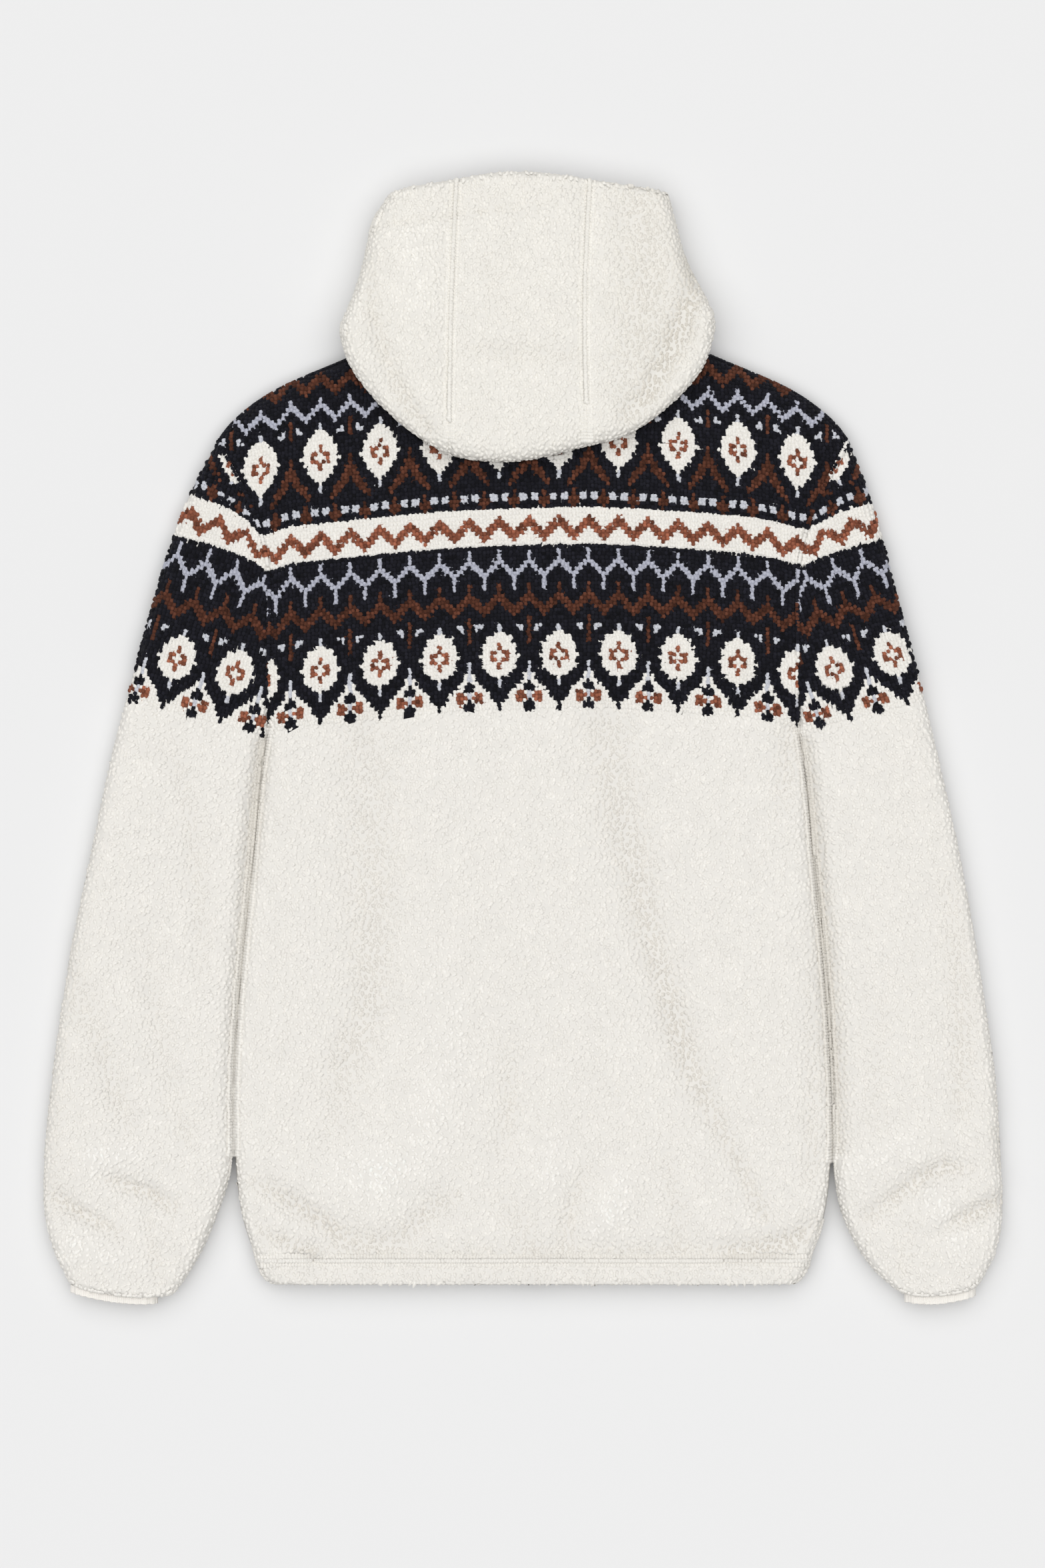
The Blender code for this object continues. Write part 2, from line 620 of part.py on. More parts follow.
def hood_centre(name, finish):
    """The strip from the face edge over the back of the hood, round the droop and up to the neck."""
    face, droop, neck = (curve(HOOD_CENTRE, "across", column) for column in CentreColumn._fields[1:])
    top_steps, under_steps = 11, 4
    across = spread(0.0, 1.0, 8)
    rows = top_steps + len(HOOD_TURN) + under_steps

    def point(row, column, behind):
        share = across[column]
        low = droop(share)
        start = low + HOOD_ROLL
        turned = row - top_steps
        turn = 0.0
        if turned < 0:
            y = mix(face(share), start, row / top_steps)
        elif turned < len(HOOD_TURN):
            turn = radians(HOOD_TURN[turned])
            y = start - (HOOD_ROLL - behind * WALL) * sin(turn)
        else:
            turn = pi
            y = mix(start, neck(share), (turned - len(HOOD_TURN) + 1) / under_steps)
        seams = hood_seam["left"](y) + SEAM_GAP / 2, hood_seam["right"](y) - SEAM_GAP / 2
        x = mix(*seams, share)
        top = hood_top(x, max(y, start))
        if turned < 0:
            return x, y, top - behind * WALL
        half = (hood_top(x, start) - YOKE_TOP) / 2
        return x, y, YOKE_TOP + half + (half - behind * WALL) * cos(turn)

    return wall(name, point, rows, len(across), finish)


def cells(name, xs, ys, zs, filled, finish, origin=(0.0, 0.0, 0.0)):
    """A piece made of box-shaped cells between the given planes, where filled(i, j, k) is true."""
    counts = len(xs) - 1, len(ys) - 1, len(zs) - 1
    mesh = bmesh.new()
    corners = {}

    def corner(i, j, k):
        if (i, j, k) not in corners:
            corners[i, j, k] = mesh.verts.new((xs[i], ys[j], zs[k]))
        return corners[i, j, k]

    def solid(cell):
        return all(0 <= at < count for at, count in zip(cell, counts)) and filled(*cell)

    for i in range(counts[0]):
        for j in range(counts[1]):
            for k in range(counts[2]):
                if not solid((i, j, k)):
                    continue
                for axis in range(3):
                    for end in (0, 1):
                        beside = [i, j, k]
                        beside[axis] += 2 * end - 1
                        if solid(tuple(beside)):
                            continue
                        a, b = [n for n in range(3) if n != axis]
                        face = []
                        for da, db in ((0, 0), (1, 0), (1, 1), (0, 1)):
                            at = [i, j, k]
                            at[axis] += end
                            at[a] += da
                            at[b] += db
                            face.append(corner(*at))
                        mesh.faces.new(face)
    return place(name, mesh, finish, origin)


def zip_pieces(tape_finish, metal_finish):
    """Both tapes, the closed chain, and the slider with its pull tab at the top."""
    tape_high = TAPE_LOW + TAPE_THICK
    for side, name in ((-1, "zip_tape_left"), (1, "zip_tape_right")):
        ends = sorted((side * TAPE_INNER, side * (CHANNEL - SEAM_GAP)))
        block(name, (ends[0], ZIP_BOTTOM, TAPE_LOW), (ends[1], ZIP_TOP, tape_high), tape_finish)
    chain_high = CHAIN_LOW + CHAIN_THICK
    corners = (-CHAIN_HALF, ZIP_BOTTOM, CHAIN_LOW), (CHAIN_HALF, CHAIN_TOP, chain_high)
    block("zip_chain", *corners, metal_finish)

    bridge = BRIDGE_HALF_LENGTH
    xs = (-SLIDER_HALF_WIDTH, -BRIDGE_HALF_WIDTH, BRIDGE_HALF_WIDTH, SLIDER_HALF_WIDTH)
    ys = [SLIDER_Y + y for y in (-SLIDER_HALF_LENGTH, -bridge, BRIDGE_LEG - bridge, bridge - BRIDGE_LEG,
                                 bridge, SLIDER_HALF_LENGTH)]
    upper_plate = chain_high + SEAM_GAP
    zs = (BRIDGE_LOW, BRIDGE_LOW + BRIDGE_BAR, SLIDER_LOW, SLIDER_LOW + SLIDER_PLATE,
          upper_plate, upper_plate + SLIDER_PLATE)

    def slider(i, j, k):
        if k in (2, 4):
            return True
        bar, legs, post = (k == 0 and 1 <= j <= 3), (k == 1 and j in (1, 3)), (k == 3 and j == 3)
        return i == 1 and (bar or legs or post)

    cells("zip_slider", xs, ys, zs, slider, metal_finish)

    xs = (-PULL_HALF_WIDTH, -PULL_EYE_HALF_WIDTH, PULL_EYE_HALF_WIDTH, PULL_HALF_WIDTH)
    ys = [SLIDER_Y + y for y in (-PULL_LENGTH, -PULL_BAR - PULL_EYE_LENGTH, -PULL_BAR, PULL_BAR)]
    zs = (AXIS_HEIGHT - PULL_THICK / 2, AXIS_HEIGHT + PULL_THICK / 2)
    pull = cells("zip_pull", xs, ys, zs, lambda i, j, k: (i, j) != (1, 1), metal_finish,
                 origin=(0.0, SLIDER_Y, AXIS_HEIGHT))
    pull.rotation_euler.x = asin((AXIS_HEIGHT - PULL_THICK / 2) / PULL_LENGTH)


for old in list(bpy.data.objects):
    bpy.data.objects.remove(old, do_unlink=True)

jacket = bpy.data.objects.new("jacket", None)
jacket.location = (-OUTLINE_MIDDLE_X * MM, -OUTLINE_MIDDLE_Y * MM, 0.0)
bpy.context.collection.objects.link(jacket)

cream = material("sherpa_cream", CREAM, 0.95)
ivory = material("sherpa_ivory", IVORY, 0.95)
banded = material("sherpa_banded", NAVY_BAND, 0.95)
binding = material("cuff_binding", BINDING, 0.8)
tape = material("zip_tape", TAPE_COLOUR, 0.85)
brass = material("zip_metal", BRASS, 0.35, 1.0)

back = Body(back_top, is_back=True)
front = Body(front_top, is_back=False, start=CHANNEL)
body_panel("back", back, back_columns(BACK_STEPS), body_rows(SLEEVE_TOP_STEPS, SIDE_ROWS), banded)
hem("hem_back", back, back_columns(BACK_STEPS), cream)
for side, name in ((-1, "left"), (1, "right")):
    columns = front_columns(side)
    body_panel("front_" + name, front, columns, body_rows(SLEEVE_UNDER_STEPS, FRONT_ROWS), cream)
    hem("hem_front_" + name, front, columns, cream)
for shape, name in ((LEFT, "left"), (RIGHT, "right")):
    sleeve("sleeve_" + name, shape, cream)
    cuff("cuff_" + name, shape, CUFFS[name], binding)
hood_centre("hood_centre", ivory)
hood_side("hood_left", HoodSide(LEFT_HOOD, "left", -1), ivory)
hood_side("hood_right", HoodSide(RIGHT_HOOD, "right", 1), ivory)
zip_pieces(tape, brass)
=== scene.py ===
"""
Looks of a hooded sherpa jacket, laid flat on its front with its back up.

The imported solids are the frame. Each cloth piece becomes a smooth shell on its
solid's form, with creases pressed into it, and a pile of short curled tufts is
sown on every part of it that shows. A tuft takes the colour of the yarn at its
root, which the charts of the knitted-in yoke give, stitch by stitch.

Places in the tables are in millimetres on the jacket: x from the centre-back
line (the wearer's left is at minus x), y up from the hem. Meshes are in metres.
"""

from __future__ import annotations

import json
import logging
from contextlib import contextmanager
from dataclasses import dataclass, field
from enum import Enum
from math import cos, pi, radians, sin
from typing import Callable, Iterator

import bmesh
import bpy
import numpy as np
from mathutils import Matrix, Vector
from mathutils.bvhtree import BVHTree

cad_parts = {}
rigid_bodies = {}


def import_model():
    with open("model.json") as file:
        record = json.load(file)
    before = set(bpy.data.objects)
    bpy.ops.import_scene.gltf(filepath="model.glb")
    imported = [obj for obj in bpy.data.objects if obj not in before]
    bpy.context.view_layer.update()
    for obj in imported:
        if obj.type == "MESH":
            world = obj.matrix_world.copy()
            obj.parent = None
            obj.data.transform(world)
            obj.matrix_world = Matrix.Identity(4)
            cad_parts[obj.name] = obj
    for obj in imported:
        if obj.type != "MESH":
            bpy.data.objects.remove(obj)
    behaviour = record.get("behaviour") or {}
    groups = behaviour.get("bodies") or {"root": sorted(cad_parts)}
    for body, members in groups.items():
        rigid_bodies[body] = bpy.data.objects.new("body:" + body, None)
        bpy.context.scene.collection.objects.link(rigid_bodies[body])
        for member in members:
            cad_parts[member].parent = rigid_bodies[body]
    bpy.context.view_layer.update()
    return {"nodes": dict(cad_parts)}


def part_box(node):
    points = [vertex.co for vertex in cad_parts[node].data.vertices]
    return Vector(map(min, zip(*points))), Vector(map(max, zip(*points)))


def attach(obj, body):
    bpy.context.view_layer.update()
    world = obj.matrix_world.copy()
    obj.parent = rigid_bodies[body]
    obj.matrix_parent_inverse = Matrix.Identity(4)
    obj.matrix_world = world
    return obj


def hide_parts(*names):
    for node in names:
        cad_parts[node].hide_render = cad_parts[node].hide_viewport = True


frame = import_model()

log = logging.getLogger("sherpa_jacket")

MM = 0.001
CENTRE_BACK = 7.35 * MM     # x of the centre-back line
HEM_LINE = -400.83 * MM     # y of the bottom of the hem
BEYOND = 1e3                # further in millimetres than any place on the jacket
JOIN = 0.01 * MM            # corners of a solid that are nearer than this are one
GARMENT = "garment"
YARN_LAYER = "yarn"
BAKE_MAP = "OFBake"
UP = Vector((0, 0, 1))
DOWN = Vector((0, 0, -1))


def srgb(red: int, green: int, blue: int) -> tuple[float, float, float]:
    """Turn a colour as seen on a screen, 0 to 255, into the linear one that shaders use.

    Args:
        red: Red share.
        green: Green share.
        blue: Blue share.

    Returns:
        The linear colour.
    """
    shares = [c / 255 for c in (red, green, blue)]
    return tuple(c / 12.92 if c <= 0.04045 else ((c + 0.055) / 1.055) ** 2.4 for c in shares)


def on_jacket(points: np.ndarray) -> np.ndarray:
    """Turn places in metres into millimetres on the jacket.

    Args:
        points: An array of places, one a row.

    Returns:
        x from the centre-back line and y from the hem, one row a place.
    """
    return (points[:, :2] - (CENTRE_BACK, HEM_LINE)) / MM


def off_jacket(x: float, y: float, height: float) -> tuple[float, float, float]:
    """Turn millimetres on the jacket, and a height in metres, into a place in metres."""
    return x * MM + CENTRE_BACK, y * MM + HEM_LINE, height


def nearest_on(places: np.ndarray, path: tuple[tuple[float, ...], ...]) -> tuple[np.ndarray, np.ndarray]:
    """Measure places against a line of straight stretches.

    Args:
        places: x and y, one row a place.
        path: The line's points, each x, y and what else is known there.

    Returns:
        For each place, how far the line is, and what else is known at its nearest point.
    """
    points = np.array(path)
    far = np.full(len(places), np.inf)
    known = np.zeros((len(places), points.shape[1] - 2))
    for start, end in zip(points, points[1:]):
        along = end - start
        share = ((places - start[:2]) @ along[:2] / (along[:2] @ along[:2])).clip(0, 1)
        away = np.linalg.norm(places - start[:2] - share[:, None] * along[:2], axis=1)
        closer = away < far
        far[closer] = away[closer]
        known[closer] = start[2:] + share[closer, None] * along[2:]
    return far, known


# ---------------------------------------------------------------- shaders


class Wire:
    """A number that one of a shader's sockets gives. Python's operators on it add Math nodes."""

    def __init__(self, shader: "Shader", socket: bpy.types.NodeSocket) -> None:
        """Keep the socket and the shader that it belongs to."""
        self.shader = shader
        self.socket = socket

    def _math(self, operation: str, first: object, second: object) -> "Wire":
        """Add one Math node on two values."""
        return self.shader.node("ShaderNodeMath", {"operation": operation}, {0: first, 1: second})

    def __add__(self, other: object) -> "Wire":
        """Add a value."""
        return self._math("ADD", self, other)

    def __sub__(self, other: object) -> "Wire":
        """Take a value away."""
        return self._math("SUBTRACT", self, other)

    def __rsub__(self, other: object) -> "Wire":
        """Take this from a value."""
        return self._math("SUBTRACT", other, self)

    def __mul__(self, other: object) -> "Wire":
        """Multiply by a value."""
        return self._math("MULTIPLY", self, other)

    __radd__ = __add__
    __rmul__ = __mul__


def tone(colour: tuple[float, float, float], share: float = 1.0) -> tuple[float, ...]:
    """A share of a colour, opaque, as a socket takes it."""
    return (*(share * c for c in colour), 1.0)


class Shader:
    """One material under construction: a Principled surface and the nodes that feed it."""

    def __init__(self, name: str) -> None:
        """Start a material with that name."""
        self.material = bpy.data.materials.new(name)
        self.material.use_nodes = True
        self.tree = self.material.node_tree
        self.surface = self.tree.nodes["Principled BSDF"]

    def node(self, kind: str, settings: dict, sockets: dict, output: object = 0) -> Wire:
        """Add any node.

        Args:
            kind: The node's type.
            settings: Its properties, which are set first.
            sockets: A value or a Wire for each socket, by name or number.
            output: The name or number of the output that is wanted.

        Returns:
            That output.
        """
        made = self.tree.nodes.new(kind)
        for key, value in settings.items():
            setattr(made, key, value)
        for key, value in sockets.items():
            self.plug(made.inputs[key], value)
        return Wire(self, made.outputs[output])

    def plug(self, socket: bpy.types.NodeSocket, value: object) -> None:
        """Give a socket a fixed value, or link a Wire to it."""
        if isinstance(value, Wire):
            self.tree.links.new(value.socket, socket)
        else:
            socket.default_value = value

    def set(self, **sockets: object) -> None:
        """Set the surface's own sockets, named with _ for each space."""
        for key, value in sockets.items():
            self.plug(self.surface.inputs[key.replace("_", " ")], value)

    def place(self) -> Wire:
        """The place on the piece, in metres."""
        return self.node("ShaderNodeTexCoord", {}, {}, "Object")

    def noise(self, size: float, detail: float = 2.0, rough: float = 0.5) -> Wire:
        """Noise from 0 to 1 whose blotches are about size metres across."""
        sockets = {"Vector": self.place(), "Scale": 1 / size, "Detail": detail, "Roughness": rough}
        return self.node("ShaderNodeTexNoise", {}, sockets)

    def bands(self, direction: str, width: float, distortion: float) -> Wire:
        """Bands from 0 to 1, one every width metres."""
        sockets = {"Vector": self.place(), "Scale": pi / (10 * width), "Distortion": distortion}
        return self.node("ShaderNodeTexWave", {"bands_direction": direction}, sockets, "Fac")

    def mixed(self, share: object, first: object, second: object, blend: str = "MIX") -> Wire:
        """Mix two colours.

        Args:
            share: How much of the second one.
            first: A colour or Wire.
            second: A colour or Wire.
            blend: The Mix node's blend type.

        Returns:
            The mixed colour.
        """
        settings = {"data_type": "RGBA", "blend_type": blend, "clamp_factor": True}
        return self.node("ShaderNodeMix", settings, {0: share, 6: first, 7: second}, 2)

    def bump(self, height: Wire, depth: float, below: object = None) -> Wire:
        """Turn a height from 0 to 1 into a normal.

        Args:
            height: The height.
            depth: How deep the relief is, in metres.
            below: The normal that this relief lies on, if any.

        Returns:
            The normal.
        """
        sockets = {"Height": height, "Distance": depth, "Strength": 1.0}
        if below is not None:
            sockets["Normal"] = below
        return self.node("ShaderNodeBump", {}, sockets)


@dataclass(frozen=True)
class PileFinish:
    """Curly pile in the colours of its yarn layer."""

    name: str
    mottle: float = 0.08
    fibre: float = 0.7 * MM
    fibre_depth: float = 0.35 * MM
    sheen: float = 0.05

    def material(self) -> bpy.types.Material:
        """Build the finish."""
        shader = Shader(self.name)
        yarn = shader.node("ShaderNodeVertexColor", {"layer_name": YARN_LAYER}, {})
        patches = shader.noise(16 * MM, 3.0)
        fine = shader.noise(self.fibre, 3.0, 0.7)
        shade = 1.0 - self.mottle * patches - 0.5 * self.mottle * fine
        grey = shader.node("ShaderNodeCombineColor", {}, {0: shade, 1: shade, 2: shade})
        shader.set(
            Base_Color=shader.mixed(1.0, yarn, grey, "MULTIPLY"),
            Roughness=0.94 - 0.1 * fine,
            Normal=shader.bump(fine, self.fibre_depth),
            Specular_IOR_Level=0.08,
            Sheen_Weight=self.sheen,
            Sheen_Roughness=0.55,
        )
        return shader.material


@dataclass(frozen=True)
class BindingFinish:
    """Smooth ribbed binding of the cuffs."""

    name: str = "ribbed_binding"
    colour: tuple[float, float, float] = srgb(246, 242, 235)
    rib: float = 1.1 * MM
    depth: float = 0.25 * MM

    def material(self) -> bpy.types.Material:
        """Build the finish."""
        shader = Shader(self.name)
        fine = shader.noise(0.5 * MM)
        ribs = shader.bands("X", self.rib, 0.4)
        shader.set(
            Base_Color=shader.mixed(fine, tone(self.colour), tone(self.colour, 0.9)),
            Roughness=0.75 + 0.15 * fine,
            Normal=shader.bump(ribs + 0.3 * fine, self.depth),
            Sheen_Weight=0.15,
        )
        return shader.material


@dataclass(frozen=True)
class TapeFinish:
    """Twilled zip tape."""

    name: str = "twilled_tape"
    colour: tuple[float, float, float] = srgb(226, 221, 210)
    twill: float = 0.8 * MM

    def material(self) -> bpy.types.Material:
        """Build the finish."""
        shader = Shader(self.name)
        rows = shader.bands("DIAGONAL", self.twill, 0.2)
        shader.set(
            Base_Color=shader.mixed(rows, tone(self.colour, 0.82), tone(self.colour)),
            Roughness=0.85 - 0.1 * rows,
            Normal=shader.bump(rows, 0.1 * MM),
        )
        return shader.material


@dataclass(frozen=True)
class MetalFinish:
    """Brushed and lightly rubbed zip metal."""

    name: str = "brushed_metal"
    colour: tuple[float, float, float] = srgb(196, 182, 150)

    def material(self) -> bpy.types.Material:
        """Build the finish."""
        shader = Shader(self.name)
        rubbed = shader.noise(1.2 * MM, 4.0, 0.6)
        shader.set(
            Base_Color=shader.mixed(rubbed, tone(self.colour, 0.7), tone(self.colour)),
            Roughness=0.26 + 0.22 * rubbed,
            Metallic=1.0,
            Normal=shader.bump(rubbed, 0.04 * MM),
        )
        return shader.material


@dataclass(frozen=True)
class FloorFinish:
    """Matt pale studio floor."""

    name: str = "studio_floor"
    colour: tuple[float, float, float] = (0.74, 0.74, 0.74)

    def material(self) -> bpy.types.Material:
        """Build the finish."""
        shader = Shader(self.name)
        shader.set(Base_Color=tone(self.colour), Roughness=0.9, Specular_IOR_Level=0.1)
        return shader.material


# ---------------------------------------------------------------- the knitted-in yoke


class Yarn(Enum):
    """The yarns, by their letter in the charts, with their colour."""

    NAVY = (".", srgb(25, 25, 32))
    WHITE = ("W", srgb(240, 237, 231))
    RUST = ("R", srgb(142, 86, 65))
    BROWN = ("r", srgb(90, 53, 39))
    BLUE = ("B", srgb(184, 186, 199))
    PALE = ("g", srgb(205, 207, 214))

    def __init__(self, letter: str, colour: tuple[float, float, float]) -> None:
        """Name the two parts of a yarn."""
        self.letter = letter
        self.colour = colour


CREAM = srgb(241, 238, 232)
IVORY = srgb(242, 239, 232)

# The charts run from the top down. A row is half a repeat: from the middle of a
# medallion to the middle between two, and back again.
CHEVRON = (
    "r.......r",
    "rr.....rr",
    "rrr...rrr",
    ".rrr.rrr.",
    "..rrrrr..",
    "...rrr...",
    "....r....",
)
HOLLOW_CHEVRON = (
    "B.......B",
    "B.......B",
    "BB.....BB",
    ".BB...BB.",
    "..BB.BB..",
    "...BBB...",
)
SHOULDER_CHART = (
    *CHEVRON,
    *HOLLOW_CHEVRON,
    "....B...r",
    "g.......r",
    "g.....g.r",
    "WW...gg.r",
    "WWW.....r",
    "WWWW.....",
    "WWWW.....",
    "RWWWW....",
    "RWWWW....",
    "WRRWW....",
    "WWRWWW..r",
    "WRRWW...r",
    "RWWWW...r",
    "RWWW...rr",
    "WWWW...rr",
    "WWW...rrr",
    "WW....rr.",
    "W....rrr.",
    "g...rrr..",
    "g...rr...",
    "...rr....",
    "...r.....",
    ".........",
    "....r....",
    ".gg.r.gg.",
    ".ggrrrgg.",
    "...rrr...",
    "....r....",
)
BAND_CHART = (
    "WWWWWWWWW",
    "WWWWWWWWW",
    *(row.replace(".", "W").replace("r", "R") for row in CHEVRON),
    "WWWWWWWWW",
)
BORDER_CHART = (
    ".........",
    "B.......B",
    *HOLLOW_CHEVRON,
    "....B....",
    "....B....",
    "r...B...r",
    "r...B...r",
    *CHEVRON,
    "........r",
    "........r",
    "g....gg.r",
    "g.....g.r",
    "WW......r",
    "WWWW....r",
    "WWWW....r",
    "RWWWW....",
    "RWWWW....",
    "WRRWW....",
    "WWRWWW...",
    "WRRWW....",
    "RWWWW...g",
    "RWWWW...g",
    "WWWW....g",
    "WWW....Wg",
    "W......Wg",
    "g.....WW.",
    "g....WW..",
    "....WWW..",
    "...WWRRWg",
    "...WWRRRg",
    "..WWWRRW.",
    ".WWWWWW..",
    ".WWWWWW..",
)


STITCH = 2.74               # width and height of a stitch
BAND_TOP = 571.8            # height of the white band's upper edge at the centre back
CHART = SHOULDER_CHART + BAND_CHART + BORDER_CHART
HALF_REPEAT = len(CHART[0]) - 1
SEAM_UP = (380, 407, 503, 545, 577, 600, 620)
SEAM_OUT = (196, 195.6, 194.0, 198.0, 209.0, 221.0, 232.0)


def chart_numbers() -> np.ndarray:
    """Every row of the charts as numbers of yarns, one a stitch."""
    numbers = {yarn.letter: i for i, yarn in enumerate(Yarn)}
    return np.array([[numbers[letter] for letter in row] for row in CHART])


def stitch_grid(across: np.ndarray) -> tuple[np.ndarray, np.ndarray]:
    """Lay out the charts' stitches.

    Args:
        across: Where the columns lie along their rows, in millimetres.

    Returns:
        For each stitch, its place along the row and how far it lies below the upper
        edge of the white band.
    """
    below = STITCH * (np.arange(len(CHART)) + 0.5 - len(SHOULDER_CHART))
    across, below = np.meshgrid(across, below)
    return across.ravel(), below.ravel()


class Knit:
    """How a piece is coloured. This one is plain; others say where the chart's rows lie on them."""

    def __init__(self, ground: tuple[float, float, float]) -> None:
        """Knit a piece in one colour, apart from what is charted."""
        self.ground = ground

    def rows(self, places: np.ndarray) -> tuple[np.ndarray, np.ndarray]:
        """Find places on the rows.

        Args:
            places: Millimetres on the jacket.

        Returns:
            Millimetres along the row from the middle of a medallion, and millimetres
            below the upper edge of the white band.
        """
        return np.zeros(len(places)), np.full(len(places), np.inf)

    def stitches(self) -> np.ndarray:
        """The middle of each charted stitch, in millimetres on the jacket."""
        return np.zeros((0, 2))

    def chart_row(self, places: np.ndarray) -> np.ndarray:
        """The chart's row at each place, counted from the top and with fractions."""
        return self.rows(places)[1] / STITCH + len(SHOULDER_CHART)

    def colours(self, places: np.ndarray) -> np.ndarray:
        """The colour of the yarn at each place."""
        across = self.rows(places)[0] / STITCH
        column = np.abs((across + HALF_REPEAT) % (2 * HALF_REPEAT) - HALF_REPEAT)
        column = np.rint(column).astype(int)
        row = np.floor(self.chart_row(places).clip(-1, len(CHART))).astype(int)
        numbers = chart_numbers()[row.clip(0, len(CHART) - 1), column]
        numbers[row < 0] = list(Yarn).index(Yarn.NAVY)
        colours = np.array([yarn.colour for yarn in Yarn])[numbers]
        colours[row >= len(CHART)] = self.ground
        return colours


class BodyKnit(Knit):
    """The chart on the back and the fronts, where its rows sag towards the armholes."""

    PHASE = -3.0                # x of the middle between two medallions
    WIDTH = 250.0
    ROW_X = (-200, -176, -137, -98, -59, -20, 39, 78, 118, 157, 176, 196)
    ROW_DROP = (21.5, 14.2, 10.6, 6.4, 3.2, 1.5, 0, 1.5, 4.0, 7.2, 10.5, 16.0)

    def rows(self, places: np.ndarray) -> tuple[np.ndarray, np.ndarray]:
        """Find places on the rows. See Knit."""
        x, y = places.T
        across = x - self.PHASE + HALF_REPEAT * STITCH
        return across, BAND_TOP - y - np.interp(x, self.ROW_X, self.ROW_DROP)

    def stitches(self) -> np.ndarray:
        """The middle of each charted stitch. See Knit."""
        count = int(self.WIDTH / STITCH)
        x, below = stitch_grid(self.PHASE + STITCH * np.arange(-count, count + 1))
        return np.column_stack([x, BAND_TOP - below - np.interp(x, self.ROW_X, self.ROW_DROP)])


class SleeveKnit(Knit):
    """The chart on a sleeve, where its rows fall towards the armhole seam."""

    SLOPE = 0.25
    TILT = radians(17)
    EASE = 15.0                 # width beside the seam over which the rows turn down
    TURN_FROM = 470.0           # height at the seam above which they turn down
    TURN_REACH = 100.0          # and over how much height it grows
    WHITE_AT = 78.0             # at this much height it is that of the white band
    TURN_POWER = 1.7
    MEDALLION_UP = 457.0
    SPAN = (-70.0, 110.0)       # how far the rows reach from the named medallion
    STEPS_DOWN, STEPS_UP = 5, 12    # how often a guess at a row's height is put right

    def __init__(self, side: int, medallion: float, turn: float, drop: float) -> None:
        """Place the chart.

        Args:
            side: -1 for the left sleeve and 1 for the right one.
            medallion: Distance from the centre back of the middle of a medallion.
            turn: How far the rows of the white band turn down beside the seam.
            drop: How far the rows at the seam lie below those at the centre back.
        """
        super().__init__(CREAM)
        self.side, self.medallion, self.turn, self.drop = side, medallion, turn, drop

    def rise(self, at_seam: np.ndarray, away: np.ndarray) -> np.ndarray:
        """How much higher a row lies at a distance from the seam, above its slope."""
        above = np.clip(at_seam - self.TURN_FROM, 0, self.TURN_REACH)
        turn = self.turn * (above / self.WHITE_AT) ** self.TURN_POWER
        return turn * (1 - np.exp(-away / self.EASE))

    def rows(self, places: np.ndarray) -> tuple[np.ndarray, np.ndarray]:
        """Find places on the rows. See Knit."""
        x, y = self.side * places[:, 0], places[:, 1]
        away = np.maximum(x - np.interp(y, SEAM_UP, SEAM_OUT), 0.0)
        flat = y - self.SLOPE * away
        at_seam = flat
        for _ in range(self.STEPS_DOWN):
            at_seam = flat - self.rise(at_seam, away)
        across = (x - self.medallion) * cos(self.TILT) + (y - self.MEDALLION_UP) * sin(self.TILT)
        return across, BAND_TOP - at_seam - self.drop

    def stitches(self) -> np.ndarray:
        """The middle of each charted stitch. See Knit."""
        low, high = (int(reach / STITCH) for reach in self.SPAN)
        across, below = stitch_grid(STITCH * np.arange(low, high + 1))
        at_seam = BAND_TOP - below - self.drop
        x = self.medallion + across
        for _ in range(self.STEPS_UP):
            away = np.maximum(x - np.interp(at_seam, SEAM_UP, SEAM_OUT), 0.0)
            y = at_seam + self.SLOPE * away + self.rise(at_seam, away)
            x = self.medallion + (across - (y - self.MEDALLION_UP) * sin(self.TILT)) / cos(self.TILT)
        return np.column_stack([self.side * x, y])


# ---------------------------------------------------------------- form of the cloth


